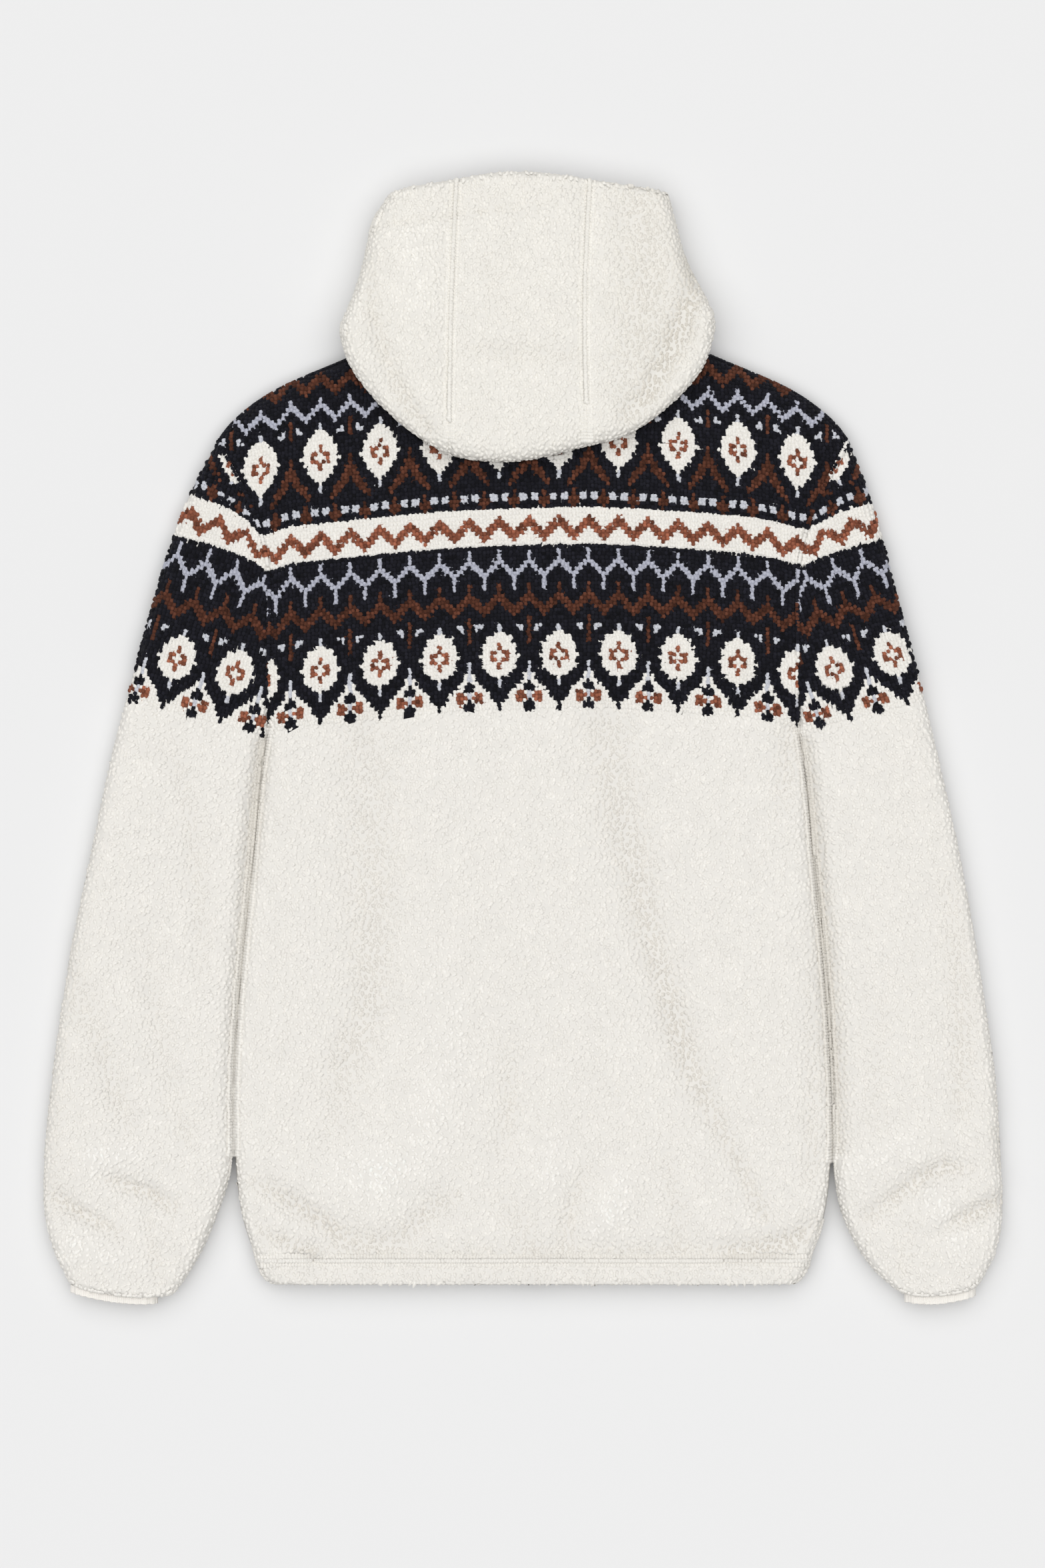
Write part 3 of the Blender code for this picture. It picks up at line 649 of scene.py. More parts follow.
# Soft troughs in the upper layer, and ridges where the depth is negative. Each is a line of points:
# x, y, depth and half the width there. The same depths also paint the pile darker in the troughs and
# lighter on the ridges: painted shade and painted light.
CREASES = (
    # back
    ((-122, 402, 1.8, 22), (-118, 300, 2.6, 20), (-120, 205, 3.2, 15), (-138, 160, 2.6, 15),
     (-146, 112, 0.8, 14)),
    ((54, 405, 2.6, 20), (63, 350, 3.4, 17), (76, 300, 3.8, 14), (88, 250, 4.0, 11), (107, 185, 4.6, 11),
     (116, 158, 4.4, 10), (135, 120, 3.4, 8), (153, 84, 3.2, 6), (170, 50, 3.0, 6)),
    ((-18, 175, 1.0, 8), (-17, 130, 2.8, 7), (-22, 98, 1.2, 8)),
    ((-204, 74, 2.4, 7), (-178, 61, 4.8, 6), (-156, 47, 5.2, 6), (-140, 34, 4.6, 8)),
    ((-124, 31, 3.2, 9), (-104, 31, 2.8, 9), (-88, 42, 3.6, 8), (-72, 58, 3.4, 8), (-56, 63, 1.4, 8)),
    ((-199, 38, 2.4, 5), (-180, 30, 4.4, 5), (-160, 22, 4.0, 5)),
    ((38, 84, 1.2, 6), (29, 60, 3.0, 6), (25, 38, 3.0, 7), (22, 26, 1.4, 7)),
    ((98, 96, 0.8, 8), (104, 60, 1.8, 8), (107, 30, 1.8, 7)),
    ((146, 24, 3.0, 8), (172, 27, 5.4, 8), (192, 32, 5.4, 8), (206, 42, 3.0, 8)),
    ((-24, 62, 1.2, 10), (-10, 44, 1.8, 12), (0, 28, 1.8, 9)),
    ((188, 405, 3.0, 8), (186, 370, 2.4, 8), (182, 345, 0.8, 8)),
    ((203, 260, 1.0, 8), (206, 160, 2.0, 9), (205, 80, 2.2, 9)),
    ((-198, 395, 1.8, 7), (-202, 350, 1.6, 7), (-206, 300, 0.8, 7)),
    ((-150, 80, -0.8, 14), (-112, 82, -2.4, 22), (-86, 92, -1.2, 18), (-64, 160, -1.2, 20),
     (-74, 240, -0.6, 18)),
    ((66, 78, -1.4, 9), (58, 56, -2.6, 12), (46, 40, -1.6, 7)),
    ((14, 108, -1.0, 13), (12, 80, -1.6, 11)),
    ((-150, 24, 1.2, 5), (-20, 23, 1.5, 5), (60, 24, 2.0, 6), (146, 25, 2.0, 6)),
    ((-200, 10, 0.7, 12), (0, 10, 1.1, 12), (202, 10, 0.8, 12)),
    # sleeves
    ((-318, 78, 1.2, 5), (-300, 73, 4.6, 5), (-282, 67, 5.0, 5), (-265, 56, 2.8, 6)),
    ((-350, 63, 3.0, 6), (-334, 53, 5.0, 5), (-318, 44, 3.8, 5), (-302, 36, 1.4, 6)),
    ((-337, 222, 1.4, 12), (-318, 175, 2.0, 11), (-304, 130, 2.4, 9), (-296, 110, 1.2, 9)),
    ((-286, 255, 0.8, 10), (-276, 200, 1.6, 9), (-270, 155, 1.2, 9)),
    ((-264, 395, 0.8, 9), (-252, 340, 1.8, 8), (-246, 290, 1.8, 8), (-243, 235, 1.0, 8)),
    ((-264, 148, 0.8, 8), (-255, 108, 1.8, 8)),
    ((-284, 50, 1.2, 5), (-278, 20, 2.2, 5), (-275, 2, 1.2, 5)),
    ((-322, 92, -2.0, 12), (-296, 98, -1.2, 10)),
    ((-336, 28, -1.4, 11), (-308, 20, -1.2, 10)),
    ((248, 50, 2.4, 7), (268, 65, 4.2, 6), (290, 80, 5.0, 6), (304, 87, 4.6, 6), (320, 84, 1.4, 7)),
    ((300, 38, 1.8, 5), (312, 46, 4.6, 6), (325, 52, 5.4, 6), (344, 61, 4.2, 7)),
    ((306, 295, 1.4, 10), (314, 215, 2.4, 10), (315, 170, 2.8, 9), (314, 126, 2.0, 8)),
    ((256, 205, 0.8, 9), (252, 150, 1.2, 9), (254, 112, 0.8, 8)),
    ((342, 112, 2.2, 7), (346, 90, 1.8, 6)),
    ((276, 44, 1.0, 6), (272, 8, 1.4, 6)),
    # along the sleeves' outer edges, and on the sleeves beside the armhole seams where the body's edge lies
    # over them: shaped a little, mostly painted shade
    ((-314, 400, 1.0, 11), (-343, 260, 1.8, 13), (-357, 150, 1.8, 14), (-356, 60, 1.2, 11)),
    ((316, 400, 1.2, 11), (340, 260, 2.0, 12), (352, 150, 2.2, 12), (356, 60, 1.6, 9)),
    ((201, 398, 3.6, 6), (208, 330, 4.8, 7), (217, 235, 4.8, 8), (223, 150, 4.4, 9), (225, 100, 3.0, 7)),
    ((-201, 398, 3.0, 6), (-207, 340, 3.8, 7), (-216, 250, 3.0, 6), (-222, 180, 2.0, 5), (-224, 110, 1.0, 5)),
    ((294, 66, -2.0, 9), (312, 28, -1.6, 11)),
    ((240, 88, -1.2, 10), (276, 106, -1.2, 12)),
    # hood
    ((115, 752, 2.6, 9), (117, 724, 5.6, 9), (108, 700, 5.6, 10), (97, 676, 5.2, 10), (84, 652, 5.2, 9),
     (68, 636, 3.4, 8)),
    ((-119, 755, 1.4, 6), (-118, 715, 2.4, 6), (-108, 680, 2.4, 6), (-94, 648, 3.4, 7), (-76, 626, 3.0, 6)),
    ((78, 800, 2.4, 26), (84, 745, 3.0, 26), (80, 700, 3.0, 24), (64, 655, 2.0, 15)),
    ((-46, 684, 0.8, 8), (-20, 682, 1.6, 8), (24, 680, 1.2, 8)),
    ((-34, 748, 1.2, 10), (-20, 716, 0.8, 10)),
    ((-88, 764, -1.0, 14), (-84, 720, -1.0, 14)),
    ((-122, 770, 0.9, 2.6), (-108, 778, 1.3, 2.6), (-62, 784, 1.1, 2.6), (-40, 787, 1.1, 2.6)),
    ((-40, 787, 1.1, 2.6), (6, 793, 1.0, 2.6), (34, 794, 0.2, 2.6)),
    ((-112, 790, 0.5, 8), (-60, 796, 0.5, 9), (0, 803, 0.6, 9), (40, 803, 0.5, 9)),
    ((-58, 806, 0.7, 3), (-58.5, 740, 0.7, 3), (-61.5, 690, 0.7, 3), (-65, 625, 0.4, 3)),
    ((40, 804, 0.7, 3), (37, 740, 0.8, 3), (36, 690, 0.8, 3), (37, 625, 0.4, 3)),
    ((46, 800, -0.4, 4), (44, 700, -0.5, 4), (44, 640, -0.4, 4)),
)


def creased(points: np.ndarray) -> np.ndarray:
    """How far the creases press each place down.

    Args:
        points: Places in metres.

    Returns:
        A depth in metres for each.
    """
    places = on_jacket(points)
    depth = np.zeros(len(places))
    for path in CREASES:
        far, known = nearest_on(places, path)
        deep, reach = known.T
        depth += deep * np.exp(-((far / reach) ** 2))
    return depth * MM


def read(items: bpy.types.bpy_prop_collection, name: str, width: int) -> np.ndarray:
    """All the values of one property of a mesh's vertices, faces or corners, one row each."""
    values = np.empty(len(items) * width, np.float32)
    items.foreach_get(name, values)
    return values.reshape(-1, width).astype(float)


def whole(items: bpy.types.bpy_prop_collection, name: str) -> np.ndarray:
    """All the values of one property that is a single whole number."""
    return read(items, name, 1)[:, 0].astype(int)


def move(mesh: bpy.types.Mesh, points: np.ndarray) -> None:
    """Put a mesh's vertices in new places, one row each."""
    mesh.vertices.foreach_set("co", points.astype(np.float32).ravel())
    mesh.update()


def only(piece: bpy.types.Object) -> None:
    """Select one object and make it active."""
    bpy.ops.object.select_all(action="DESELECT")
    piece.select_set(True)
    bpy.context.view_layer.objects.active = piece


def placed(name: str, data: bpy.types.ID) -> bpy.types.Object:
    """Put a mesh, a camera or a lamp into the scene as an object, and select it."""
    piece = bpy.data.objects.new(name, data)
    bpy.context.scene.collection.objects.link(piece)
    only(piece)
    return piece


def modelled(name: str, add: Callable, **settings: object) -> bpy.types.Object:
    """Add one of Blender's basic shapes, and apply its place, turn and size.

    Args:
        name: The new piece.
        add: The operator that adds it.
        settings: What the operator is given.

    Returns:
        The shape.
    """
    bpy.ops.object.select_all(action="DESELECT")
    add(**settings)
    piece = bpy.context.object
    piece.name = name
    bpy.ops.object.transform_apply(location=True, rotation=True, scale=True)
    return piece


@contextmanager
def editing(select: str | None = None) -> Iterator[None]:
    """Edit the active mesh, with all or nothing selected first, or what is selected already."""
    bpy.ops.object.mode_set(mode="EDIT")
    if select is not None:
        bpy.ops.mesh.select_all(action=select)
    yield
    bpy.ops.object.mode_set(mode="OBJECT")


def apply_modifier(piece: bpy.types.Object, kind: str, **settings: object) -> None:
    """Add a modifier to a piece and apply it.

    Args:
        piece: The piece.
        kind: The modifier's type.
        settings: Its properties.
    """
    modifier = piece.modifiers.new("form", kind)
    for key, value in settings.items():
        setattr(modifier, key, value)
    only(piece)
    bpy.ops.object.modifier_apply(modifier=modifier.name)


def paint(mesh: bpy.types.Mesh, colours: np.ndarray, domain: str) -> None:
    """Store a colour for each vertex or corner in the yarn layer.

    Args:
        mesh: The mesh.
        colours: One row a vertex or corner.
        domain: POINT or CORNER.
    """
    layer = mesh.color_attributes.new(YARN_LAYER, "FLOAT_COLOR", domain)
    opaque = np.hstack([colours, np.ones((len(colours), 1))])
    layer.data.foreach_set("color", opaque.astype(np.float32).ravel())


class Shells:
    """Makes the smooth shell of a cloth piece from its solid."""

    LAYER_TOP = 10.5 * MM       # above this a face belongs to the upper layer
    DEEPEST = 5.5 * MM          # the wall is thinner under a crease, but keeps a third
    SHARP = radians(62)         # the cut ends of a wall, which stay crisp
    FLAT = radians(50)          # triangles that meet flatter than this make one face of four sides
    SKEWED = radians(70)        # and so far from square at most
    LEVEL = 0.4                 # a face that is as level as this takes a crease in full
    LONGEST = 5.0 * MM          # longest side of a face that carries the yoke's chart
    ROUNDS = 7
    ASIDE = -0.1                # faces that look a little the other way carry it too
    GROUND_PAINTED_SHADE = 0.9               # painted shade: the ground between the tufts is painted this share as bright as its yarn

    def smooth(self, node: str, name: str, levels: int) -> bpy.types.Object:
        """Copy a solid, close it and round it.

        Args:
            node: The CAD node.
            name: The new piece.
            levels: How often its faces are split in four.

        Returns:
            The shell.
        """
        mesh = frame["nodes"][node].data.copy()
        mesh.name = name
        shell = placed(name, mesh)
        with editing("SELECT"):
            bpy.ops.mesh.remove_doubles(threshold=JOIN)
            bpy.ops.mesh.tris_convert_to_quads(face_threshold=self.FLAT, shape_threshold=self.SKEWED)
        self.keep_cut_ends(mesh)
        apply_modifier(shell, "SUBSURF", levels=levels, render_levels=levels)
        mesh = shell.data
        self.press(mesh)
        mesh.shade_smooth()
        mesh.set_sharp_from_angle(angle=self.SHARP)
        return shell

    def keep_cut_ends(self, mesh: bpy.types.Mesh) -> None:
        """Crease the edges round the cut ends of a wall, so that seams stay where they meet."""
        work = bmesh.new()
        work.from_mesh(mesh)
        crease = work.edges.layers.float.new("crease_edge")
        for edge in work.edges:
            if len(edge.link_faces) == 2 and edge.calc_face_angle(0.0) > self.SHARP:
                edge[crease] = 1.0
        work.to_mesh(mesh)
        work.free()

    def press(self, mesh: bpy.types.Mesh) -> None:
        """Press the creases into the upper layer, and keep the underside flat."""
        points = read(mesh.vertices, "co", 3)
        level = read(mesh.vertices, "normal", 3)[:, 2]
        upper = (points[:, 2] > self.LAYER_TOP) & (level > 0)
        share = (level[upper] / self.LEVEL).clip(0, 1)
        points[upper, 2] -= share * creased(points[upper]).clip(max=self.DEEPEST)
        points[:, 2] = np.maximum(points[:, 2], 0.0)
        move(mesh, points)

    def refine(self, shell: bpy.types.Object, lowest: float, facing: float) -> None:
        """Split the long sides of the faces that carry the yoke, until none is left.

        Args:
            shell: The shell.
            lowest: Height above the hem where the yoke begins, in millimetres.
            facing: 1 for faces that look up, -1 for those that look down and 0 for all.
        """
        bpy.context.tool_settings.mesh_select_mode = (False, True, False)
        mesh = shell.data
        only(shell)
        for _ in range(self.ROUNDS):
            with editing("DESELECT"):
                pass
            centres = on_jacket(read(mesh.polygons, "center", 3))
            normals = read(mesh.polygons, "normal", 3)
            corners = read(mesh.vertices, "co", 3)
            ends = read(mesh.edges, "vertices", 2).astype(int)
            long = np.linalg.norm(corners[ends[:, 0]] - corners[ends[:, 1]], axis=1) > self.LONGEST
            carries = (centres[:, 1] > lowest) & (facing * normals[:, 2] > self.ASIDE)
            sides = whole(mesh.polygons, "loop_total")
            round_them = whole(mesh.loops, "edge_index")[np.repeat(carries, sides)]
            chosen = np.zeros(len(long), bool)
            chosen[round_them] = long[round_them]
            if not chosen.any():
                break
            mesh.edges.foreach_set("select", chosen)
            with editing():
                bpy.ops.mesh.subdivide(number_cuts=1, smoothness=0.0)
        bpy.context.tool_settings.mesh_select_mode = (True, False, False)

    def colour(self, shell: bpy.types.Object, knit: Knit) -> None:
        """Give each face of a shell one colour, the yarn's, painted a little darker as shade between the
        tufts.
        """
        mesh = shell.data
        colours = knit.colours(on_jacket(read(mesh.polygons, "center", 3))) * self.GROUND_PAINTED_SHADE
        paint(mesh, np.repeat(colours, whole(mesh.polygons, "loop_total"), axis=0), "CORNER")


class Cover:
    """Tells which faces of a piece show, and so have pile standing on them."""

    REACH = 0.25                # how far a ray looks, which is more than the jacket's height
    OFF = 0.35 * MM             # how far off its face a ray starts
    PAST = 0.01                 # and past a skin, in millimetres
    SHRUNK = 1.6 * MM           # how far a smoothed shell lies inside its solid at most
    STEEPEST = -0.8             # faces that look further down than this rest on the surface
    LOWEST = 2.2 * MM           # and so do those that lie lower

    def __init__(self) -> None:
        """Gather the faces of every solid."""
        corners, faces = [], []
        self.owners: list[str] = []
        for name, node in frame["nodes"].items():
            start = len(corners)
            corners += [v.co for v in node.data.vertices]
            faces += [[start + v for v in face.vertices] for face in node.data.polygons]
            self.owners += [name] * len(node.data.polygons)
        self.tree = BVHTree.FromPolygons(corners, faces)

    def height(self, x: float, y: float) -> float:
        """How high the jacket is at a place, in millimetres there and as the answer."""
        hit = self.tree.ray_cast(Vector(off_jacket(x, y, self.REACH)), DOWN)[0]
        return 0.0 if hit is None else hit.z / MM

    def free(self, start: Vector, towards: Vector, own: str) -> bool:
        """True if nothing lies that way, apart from the near skin of the piece's own solid."""
        for _ in range(2):
            hit, look, index, distance = self.tree.ray_cast(start, towards, self.REACH)
            if hit is None:
                return True
            leaves = look.dot(towards) > 0 and self.owners[index] == own
            if not leaves or distance > self.SHRUNK:
                return False
            start = hit + towards * self.PAST * MM
        return False

    def shows(self, places: np.ndarray, normals: np.ndarray, own: str) -> np.ndarray:
        """Find the faces that light from above or beside can reach.

        Args:
            places: The faces' middles.
            normals: Where they look.
            own: The node that they belong to.

        Returns:
            For each, whether it shows.
        """
        pressed = np.where(normals[:, 2] > 0, creased(places), 0.0)
        found = []
        for place, normal, lift in zip(places, normals, pressed):
            if normal[2] < self.STEEPEST or place[2] < self.LOWEST:
                found.append(False)
                continue
            start = Vector(place) + Vector(normal) * self.OFF + UP * lift
            slanting = (Vector(normal) + UP).normalized()
            found.append(self.free(start, UP, own) or self.free(start, slanting, own))
        return np.array(found, bool)


# ---------------------------------------------------------------- the pile


@dataclass
class Tuft:
    """One short curled tuft, modelled a few times with small differences."""

    width: float = 3.0 * MM
    length: float = 4.6 * MM
    point: float = 0.9 * MM
    height: float = 1.6 * MM
    sunk: float = 0.7 * MM
    crown_radius: float = 0.40      # share of the width
    crown_height: float = 0.7       # share of the height at which the crown's rim lies
    crown_back: float = 0.12        # share of the width by which the crown lies behind the middle
    sides: int = 5
    kinds: int = 5
    unevenness: float = 0.28 * MM
    first_seed: int = 3

    def models(self) -> bpy.types.Collection:
        """Model the tufts, in a collection of their own."""
        kept = bpy.data.collections.new("tufts")
        bpy.context.scene.collection.children.link(kept)
        for kind in range(self.kinds):
            made = self.model(kind)
            for holder in list(made.users_collection):
                holder.objects.unlink(made)
            kept.objects.link(made)
        return kept

    def model(self, kind: int) -> bpy.types.Object:
        """Model one tuft, lying along Y with its tip towards -Y, open below."""
        tuft = modelled(
            f"tuft_{kind}",
            bpy.ops.mesh.primitive_cone_add,
            vertices=self.sides,
            radius1=self.width / 2,
            radius2=self.width * self.crown_radius,
            depth=self.height * self.crown_height + self.sunk,
            end_fill_type="TRIFAN",
            location=(0, 0, (self.height * self.crown_height - self.sunk) / 2),
            rotation=(0, 0, pi),
        )
        mesh = tuft.data
        with editing("DESELECT"):
            pass
        foot = min(mesh.vertices, key=lambda v: (v.co.z, v.co.to_2d().length))
        foot.select = True
        with editing():
            bpy.ops.mesh.delete(type="VERT")
        crown = min(mesh.vertices, key=lambda v: (-round(v.co.z, 6), v.co.to_2d().length))
        crown.co = (0, -self.crown_back * self.width, self.height)
        for vertex in mesh.vertices:
            vertex.co.y *= self.length / self.width
        tip = min(mesh.vertices, key=lambda v: v.co.y)
        tip.co.y -= self.point
        with editing("SELECT"):
            bpy.ops.transform.vertex_random(offset=self.unevenness, seed=kind + self.first_seed)
            bpy.ops.mesh.normals_make_consistent(inside=False)
        mesh.shade_smooth()
        return tuft


@dataclass(frozen=True)
class Gap:
    """A gap between two pieces, which the pile bridges."""

    sunk: float                                     # how far the bridge lies below its banks
    path: tuple[tuple[float, float], ...]           # x and y at each point


@dataclass
class Seeds:
    """Roots of tufts: their places in metres and where each tuft stands up to."""

    places: np.ndarray = field(default_factory=lambda: np.zeros((0, 3)))
    normals: np.ndarray = field(default_factory=lambda: np.zeros((0, 3)))

    def __add__(self, other: "Seeds") -> "Seeds":
        """Join two lots."""
        return Seeds(np.vstack([self.places, other.places]), np.vstack([self.normals, other.normals]))

    def only(self, chosen: np.ndarray) -> "Seeds":
        """Keep some of them."""
        return Seeds(self.places[chosen], self.normals[chosen])


class Pile:
    """Sows tufts on shells."""

    LEAN = radians(14)          # how far a tuft leans at most
    SWING = radians(46)         # and how far it turns from the comb's direction
    LEAST, MOST = 0.76, 1.26    # its size, as a share of the model's
    RANDOM_FROM = 11
    CROWDED = 420_000.0         # tries for each square metre, far more than there is room for
    FLOOR = 0.25 * MM           # no tuft hangs lower
    FROM = 0.1                  # height from which the chart is laid on a shell
    LEVEL = 0.6                 # how level a face is that the chart's stitches are laid on
    LAST_ROW = len(CHART) - 0.5     # the scattered pile begins within the chart's last row
    STRAY = 0.65                # how far a stitch strays from its place, in millimetres
    STAND = 0.15 * MM           # how far figures stand out of their dark ground
    EDGE_STEP = 2.0 * MM        # along the cut edges at the seams
    EDGE_OUT = 0.4 * MM         # and how far they stand over the seam
    EDGE_LEAN = 0.3             # how much they look that way
    CREVICE_FROM = 6.0 * MM     # height from which a crevice is filled
    CREVICE_UNDER = -0.5        # its hidden faces look no further down than this
    CREVICE_LIFT = 1.5          # how much more the tufts in it look up
    FILL = 1.6 * MM             # and how high up in it they are
    BANK = 1.9                  # a gap's banks are so far from its middle, in millimetres
    BRIDGE_LOOK = np.arange(-4, 4.5, 0.5)   # where the middle is looked for, beside the path
    BRIDGE_STEP = 2.3           # along the path
    BRIDGE_ROWS = (-3.5, -2.3, -1.2, 0.0, 1.2, 2.3, 3.5)
    BRIDGE_STRAY = 0.3
    CREASE_SHADE = (33.0, 36.0, 41.0)   # painted shade: how much darker the yarn is painted for each metre of crease, lighter on ridges: r, g, b
    DARK = 0.3                  # yarns below this are dark
    FIGURE = 0.06               # and those above this are not the ground
    LIGHT_CHANGE, DARK_CHANGE = 0.02, 0.30  # how much one tuft's brightness differs from another's
    WIDEST = 2.0                # and at most so many times as much
    BRIGHTEST = 0.95
    LIGHT_RELIEF = 0.40         # height of a white tuft as a share of a dark one's
    LIGHT_FROM = 0.25           # yarns above this lose some of their height
    LIGHT_OVER = 0.45           # and those that are brighter by this lose all that they do

    def __init__(self, tuft: Tuft, cover: Cover) -> None:
        """Model the tufts and set up the nodes that sow them."""
        self.tufts = tuft.models()
        self.sunk = tuft.sunk
        self.cover = cover
        self.draw = np.random.default_rng(self.RANDOM_FROM)
        self.seed = 0
        self.sower = bpy.data.node_groups.new("sow_pile", "GeometryNodeTree")
        self._build()

    def _node(self, kind: str, settings: dict, sockets: dict) -> bpy.types.Node:
        """Add a node to the sower, with its properties and its sockets' values or links."""
        made = self.sower.nodes.new(kind)
        for key, value in settings.items():
            setattr(made, key, value)
        for key, value in sockets.items():
            if isinstance(value, bpy.types.NodeSocket):
                self.sower.links.new(value, made.inputs[key])
            else:
                made.inputs[key].default_value = value
        return made

    def _read(self, name: str, kind: str) -> bpy.types.NodeSocket:
        """Read one of the attributes of the mesh or its points."""
        return self._node("GeometryNodeInputNamedAttribute", {"data_type": kind}, {"Name": name}).outputs[0]

    def _random(self, low: tuple, high: tuple, seed: int) -> bpy.types.NodeSocket:
        """A different vector for each tuft, between two corners."""
        sockets = {0: low, 1: high, "Seed": seed}
        return self._node("FunctionNodeRandomValue", {"data_type": "FLOAT_VECTOR"}, sockets).outputs[0]

    def _build(self) -> None:
        """Put a tuft on each seed, and on points that are scattered evenly where pile grows."""
        geometry = "NodeSocketGeometry"
        self.sower.interface.new_socket("Geometry", in_out="INPUT", socket_type=geometry)
        self.sower.interface.new_socket("Geometry", in_out="OUTPUT", socket_type=geometry)
        source = self._node("NodeGroupInput", {}, {}).outputs[0]
        self.scatter = self._node(
            "GeometryNodeDistributePointsOnFaces",
            {"distribute_method": "POISSON"},
            {"Mesh": source, "Selection": self._read("grows", "BOOLEAN"), "Density Max": self.CROWDED},
        )
        scattered = self._node(
            "GeometryNodeStoreNamedAttribute",
            {"data_type": "FLOAT_VECTOR", "domain": "POINT"},
            {
                "Geometry": self.scatter.outputs["Points"],
                "Name": "up",
                "Value": self.scatter.outputs["Normal"],
            },
        )
        seeded = self._node(
            "GeometryNodeMeshToPoints", {}, {"Mesh": source, "Selection": self._read("seed", "BOOLEAN")}
        )
        roots = self._node("GeometryNodeJoinGeometry", {}, {"Geometry": scattered.outputs[0]})
        self.sower.links.new(seeded.outputs[0], roots.inputs["Geometry"])
        upright = self._node(
            "FunctionNodeAlignRotationToVector", {"axis": "Z"}, {"Vector": self._read("up", "FLOAT_VECTOR")}
        )
        self.combed = self._node(
            "FunctionNodeAlignRotationToVector",
            {"axis": "Y", "pivot_axis": "Z"},
            {"Rotation": upright.outputs[0]},
        )
        swing = (self.LEAN, self.LEAN, self.SWING)
        turned = self._random(tuple(-angle for angle in swing), swing, 1)
        spin = self._node("FunctionNodeEulerToRotation", {}, {0: turned})
        stands = self._node(
            "FunctionNodeRotateRotation",
            {"rotation_space": "LOCAL"},
            {0: self.combed.outputs[0], 1: spin.outputs[0]},
        )
        kinds = self._node(
            "GeometryNodeCollectionInfo",
            {},
            {"Collection": self.tufts, "Separate Children": True, "Reset Children": True},
        )
        last = len(self.tufts.objects) - 1
        which = self._node("FunctionNodeRandomValue", {"data_type": "INT"}, {4: 0, 5: last})
        planted = self._node(
            "GeometryNodeInstanceOnPoints",
            {},
            {
                "Points": roots.outputs[0],
                "Instance": kinds.outputs[0],
                "Pick Instance": True,
                "Instance Index": which.outputs[2],
                "Rotation": stands.outputs[0],
                "Scale": self._random((self.LEAST,) * 3, (self.MOST,) * 3, 2),
            },
        )
        grown = self._node("GeometryNodeRealizeInstances", {}, {"Geometry": planted.outputs[0]})
        self._node("NodeGroupOutput", {}, {0: grown.outputs[0]})

    def stitch_seeds(self, shell: bpy.types.Object, knit: Knit, node: str) -> Seeds:
        """Lay the chart's stitches on the level parts of a shell that show."""
        mesh = shell.data
        corners = [vertex.co for vertex in mesh.vertices]
        tree = BVHTree.FromPolygons(corners, [list(face.vertices) for face in mesh.polygons])
        wanted = knit.stitches()
        wanted = wanted + self.draw.uniform(-self.STRAY, self.STRAY, wanted.shape)
        hits, looks = [], []
        for x, y in wanted:
            hit, normal, _, _ = tree.ray_cast(Vector(off_jacket(x, y, self.FROM)), DOWN)
            if hit is not None and normal.z > self.LEVEL:
                hits.append(hit)
                looks.append(normal)
        if not hits:
            return Seeds()
        found = Seeds(np.array(hits), np.array(looks))
        return found.only(self.cover.shows(found.places, found.normals, node))

    def edge_seeds(self, shell: bpy.types.Object, node: str) -> Seeds:
        """Set tufts close along seams and deep in crevices, so that those of both sides meet."""
        mesh = shell.data
        centres, normals = read(mesh.polygons, "center", 3), read(mesh.polygons, "normal", 3)
        corners = read(mesh.vertices, "co", 3)
        shown = self.cover.shows(centres, normals, node)
        beside: dict[tuple[int, int], list[int]] = {}
        for face in mesh.polygons:
            for key in face.edge_keys:
                beside.setdefault(key, []).append(face.index)
        found = Seeds()
        for edge in mesh.edges:
            pair = beside.get(tuple(sorted(edge.vertices)), [])
            if len(pair) != 2 or shown[pair[0]] == shown[pair[1]]:
                continue
            face, hidden = pair if shown[pair[0]] else reversed(pair)
            start, end = corners[edge.vertices[0]], corners[edge.vertices[1]]
            crevice = not edge.use_edge_sharp
            if crevice and (start[2] < self.CREVICE_FROM or normals[hidden][2] < self.CREVICE_UNDER):
                continue
            length = np.linalg.norm(end - start) / self.EDGE_STEP
            count = int(length) + int(self.draw.random() < length % 1)
            if count:
                share = (np.arange(count)[:, None] + self.draw.random()) / count
                lift = (0, 0, self.FILL) if crevice else self.EDGE_OUT * normals[hidden]
                places = start + share * (end - start) + lift
                up = normals[face] + self.EDGE_LEAN * normals[hidden] + (0, 0, self.CREVICE_LIFT * crevice)
                found += Seeds(places, np.tile(up, (count, 1)))
        return found

    def bridge_seeds(self, gap: Gap) -> Seeds:
        """Bridge a gap between two pieces with tufts that stand on both."""
        places = []
        points = np.array(gap.path)
        for start, end in zip(points, points[1:]):
            length = np.linalg.norm(end - start)
            along = (end - start) / length
            beside = np.array((-along[1], along[0]))
            for step in np.arange(0, length, self.BRIDGE_STEP):
                across = [start + step * along + side * beside for side in self.BRIDGE_LOOK]
                deepest = across[np.argmin([self.cover.height(*place) for place in across])]
                bank = min(self.cover.height(*(deepest + side * beside)) for side in (-self.BANK, self.BANK))
                if bank * MM < self.CREVICE_FROM:
                    continue
                for side in self.BRIDGE_ROWS:
                    stray = self.draw.uniform(-self.BRIDGE_STRAY, self.BRIDGE_STRAY)
                    x, y = deepest + (side + stray) * beside
                    level = max(bank - gap.sunk, self.cover.height(x, y))
                    places.append(off_jacket(x, y, level * MM))
        places = np.array(places).reshape(-1, 3)
        places[:, 2] -= creased(places)
        return Seeds(places, np.tile(UP, (len(places), 1)))

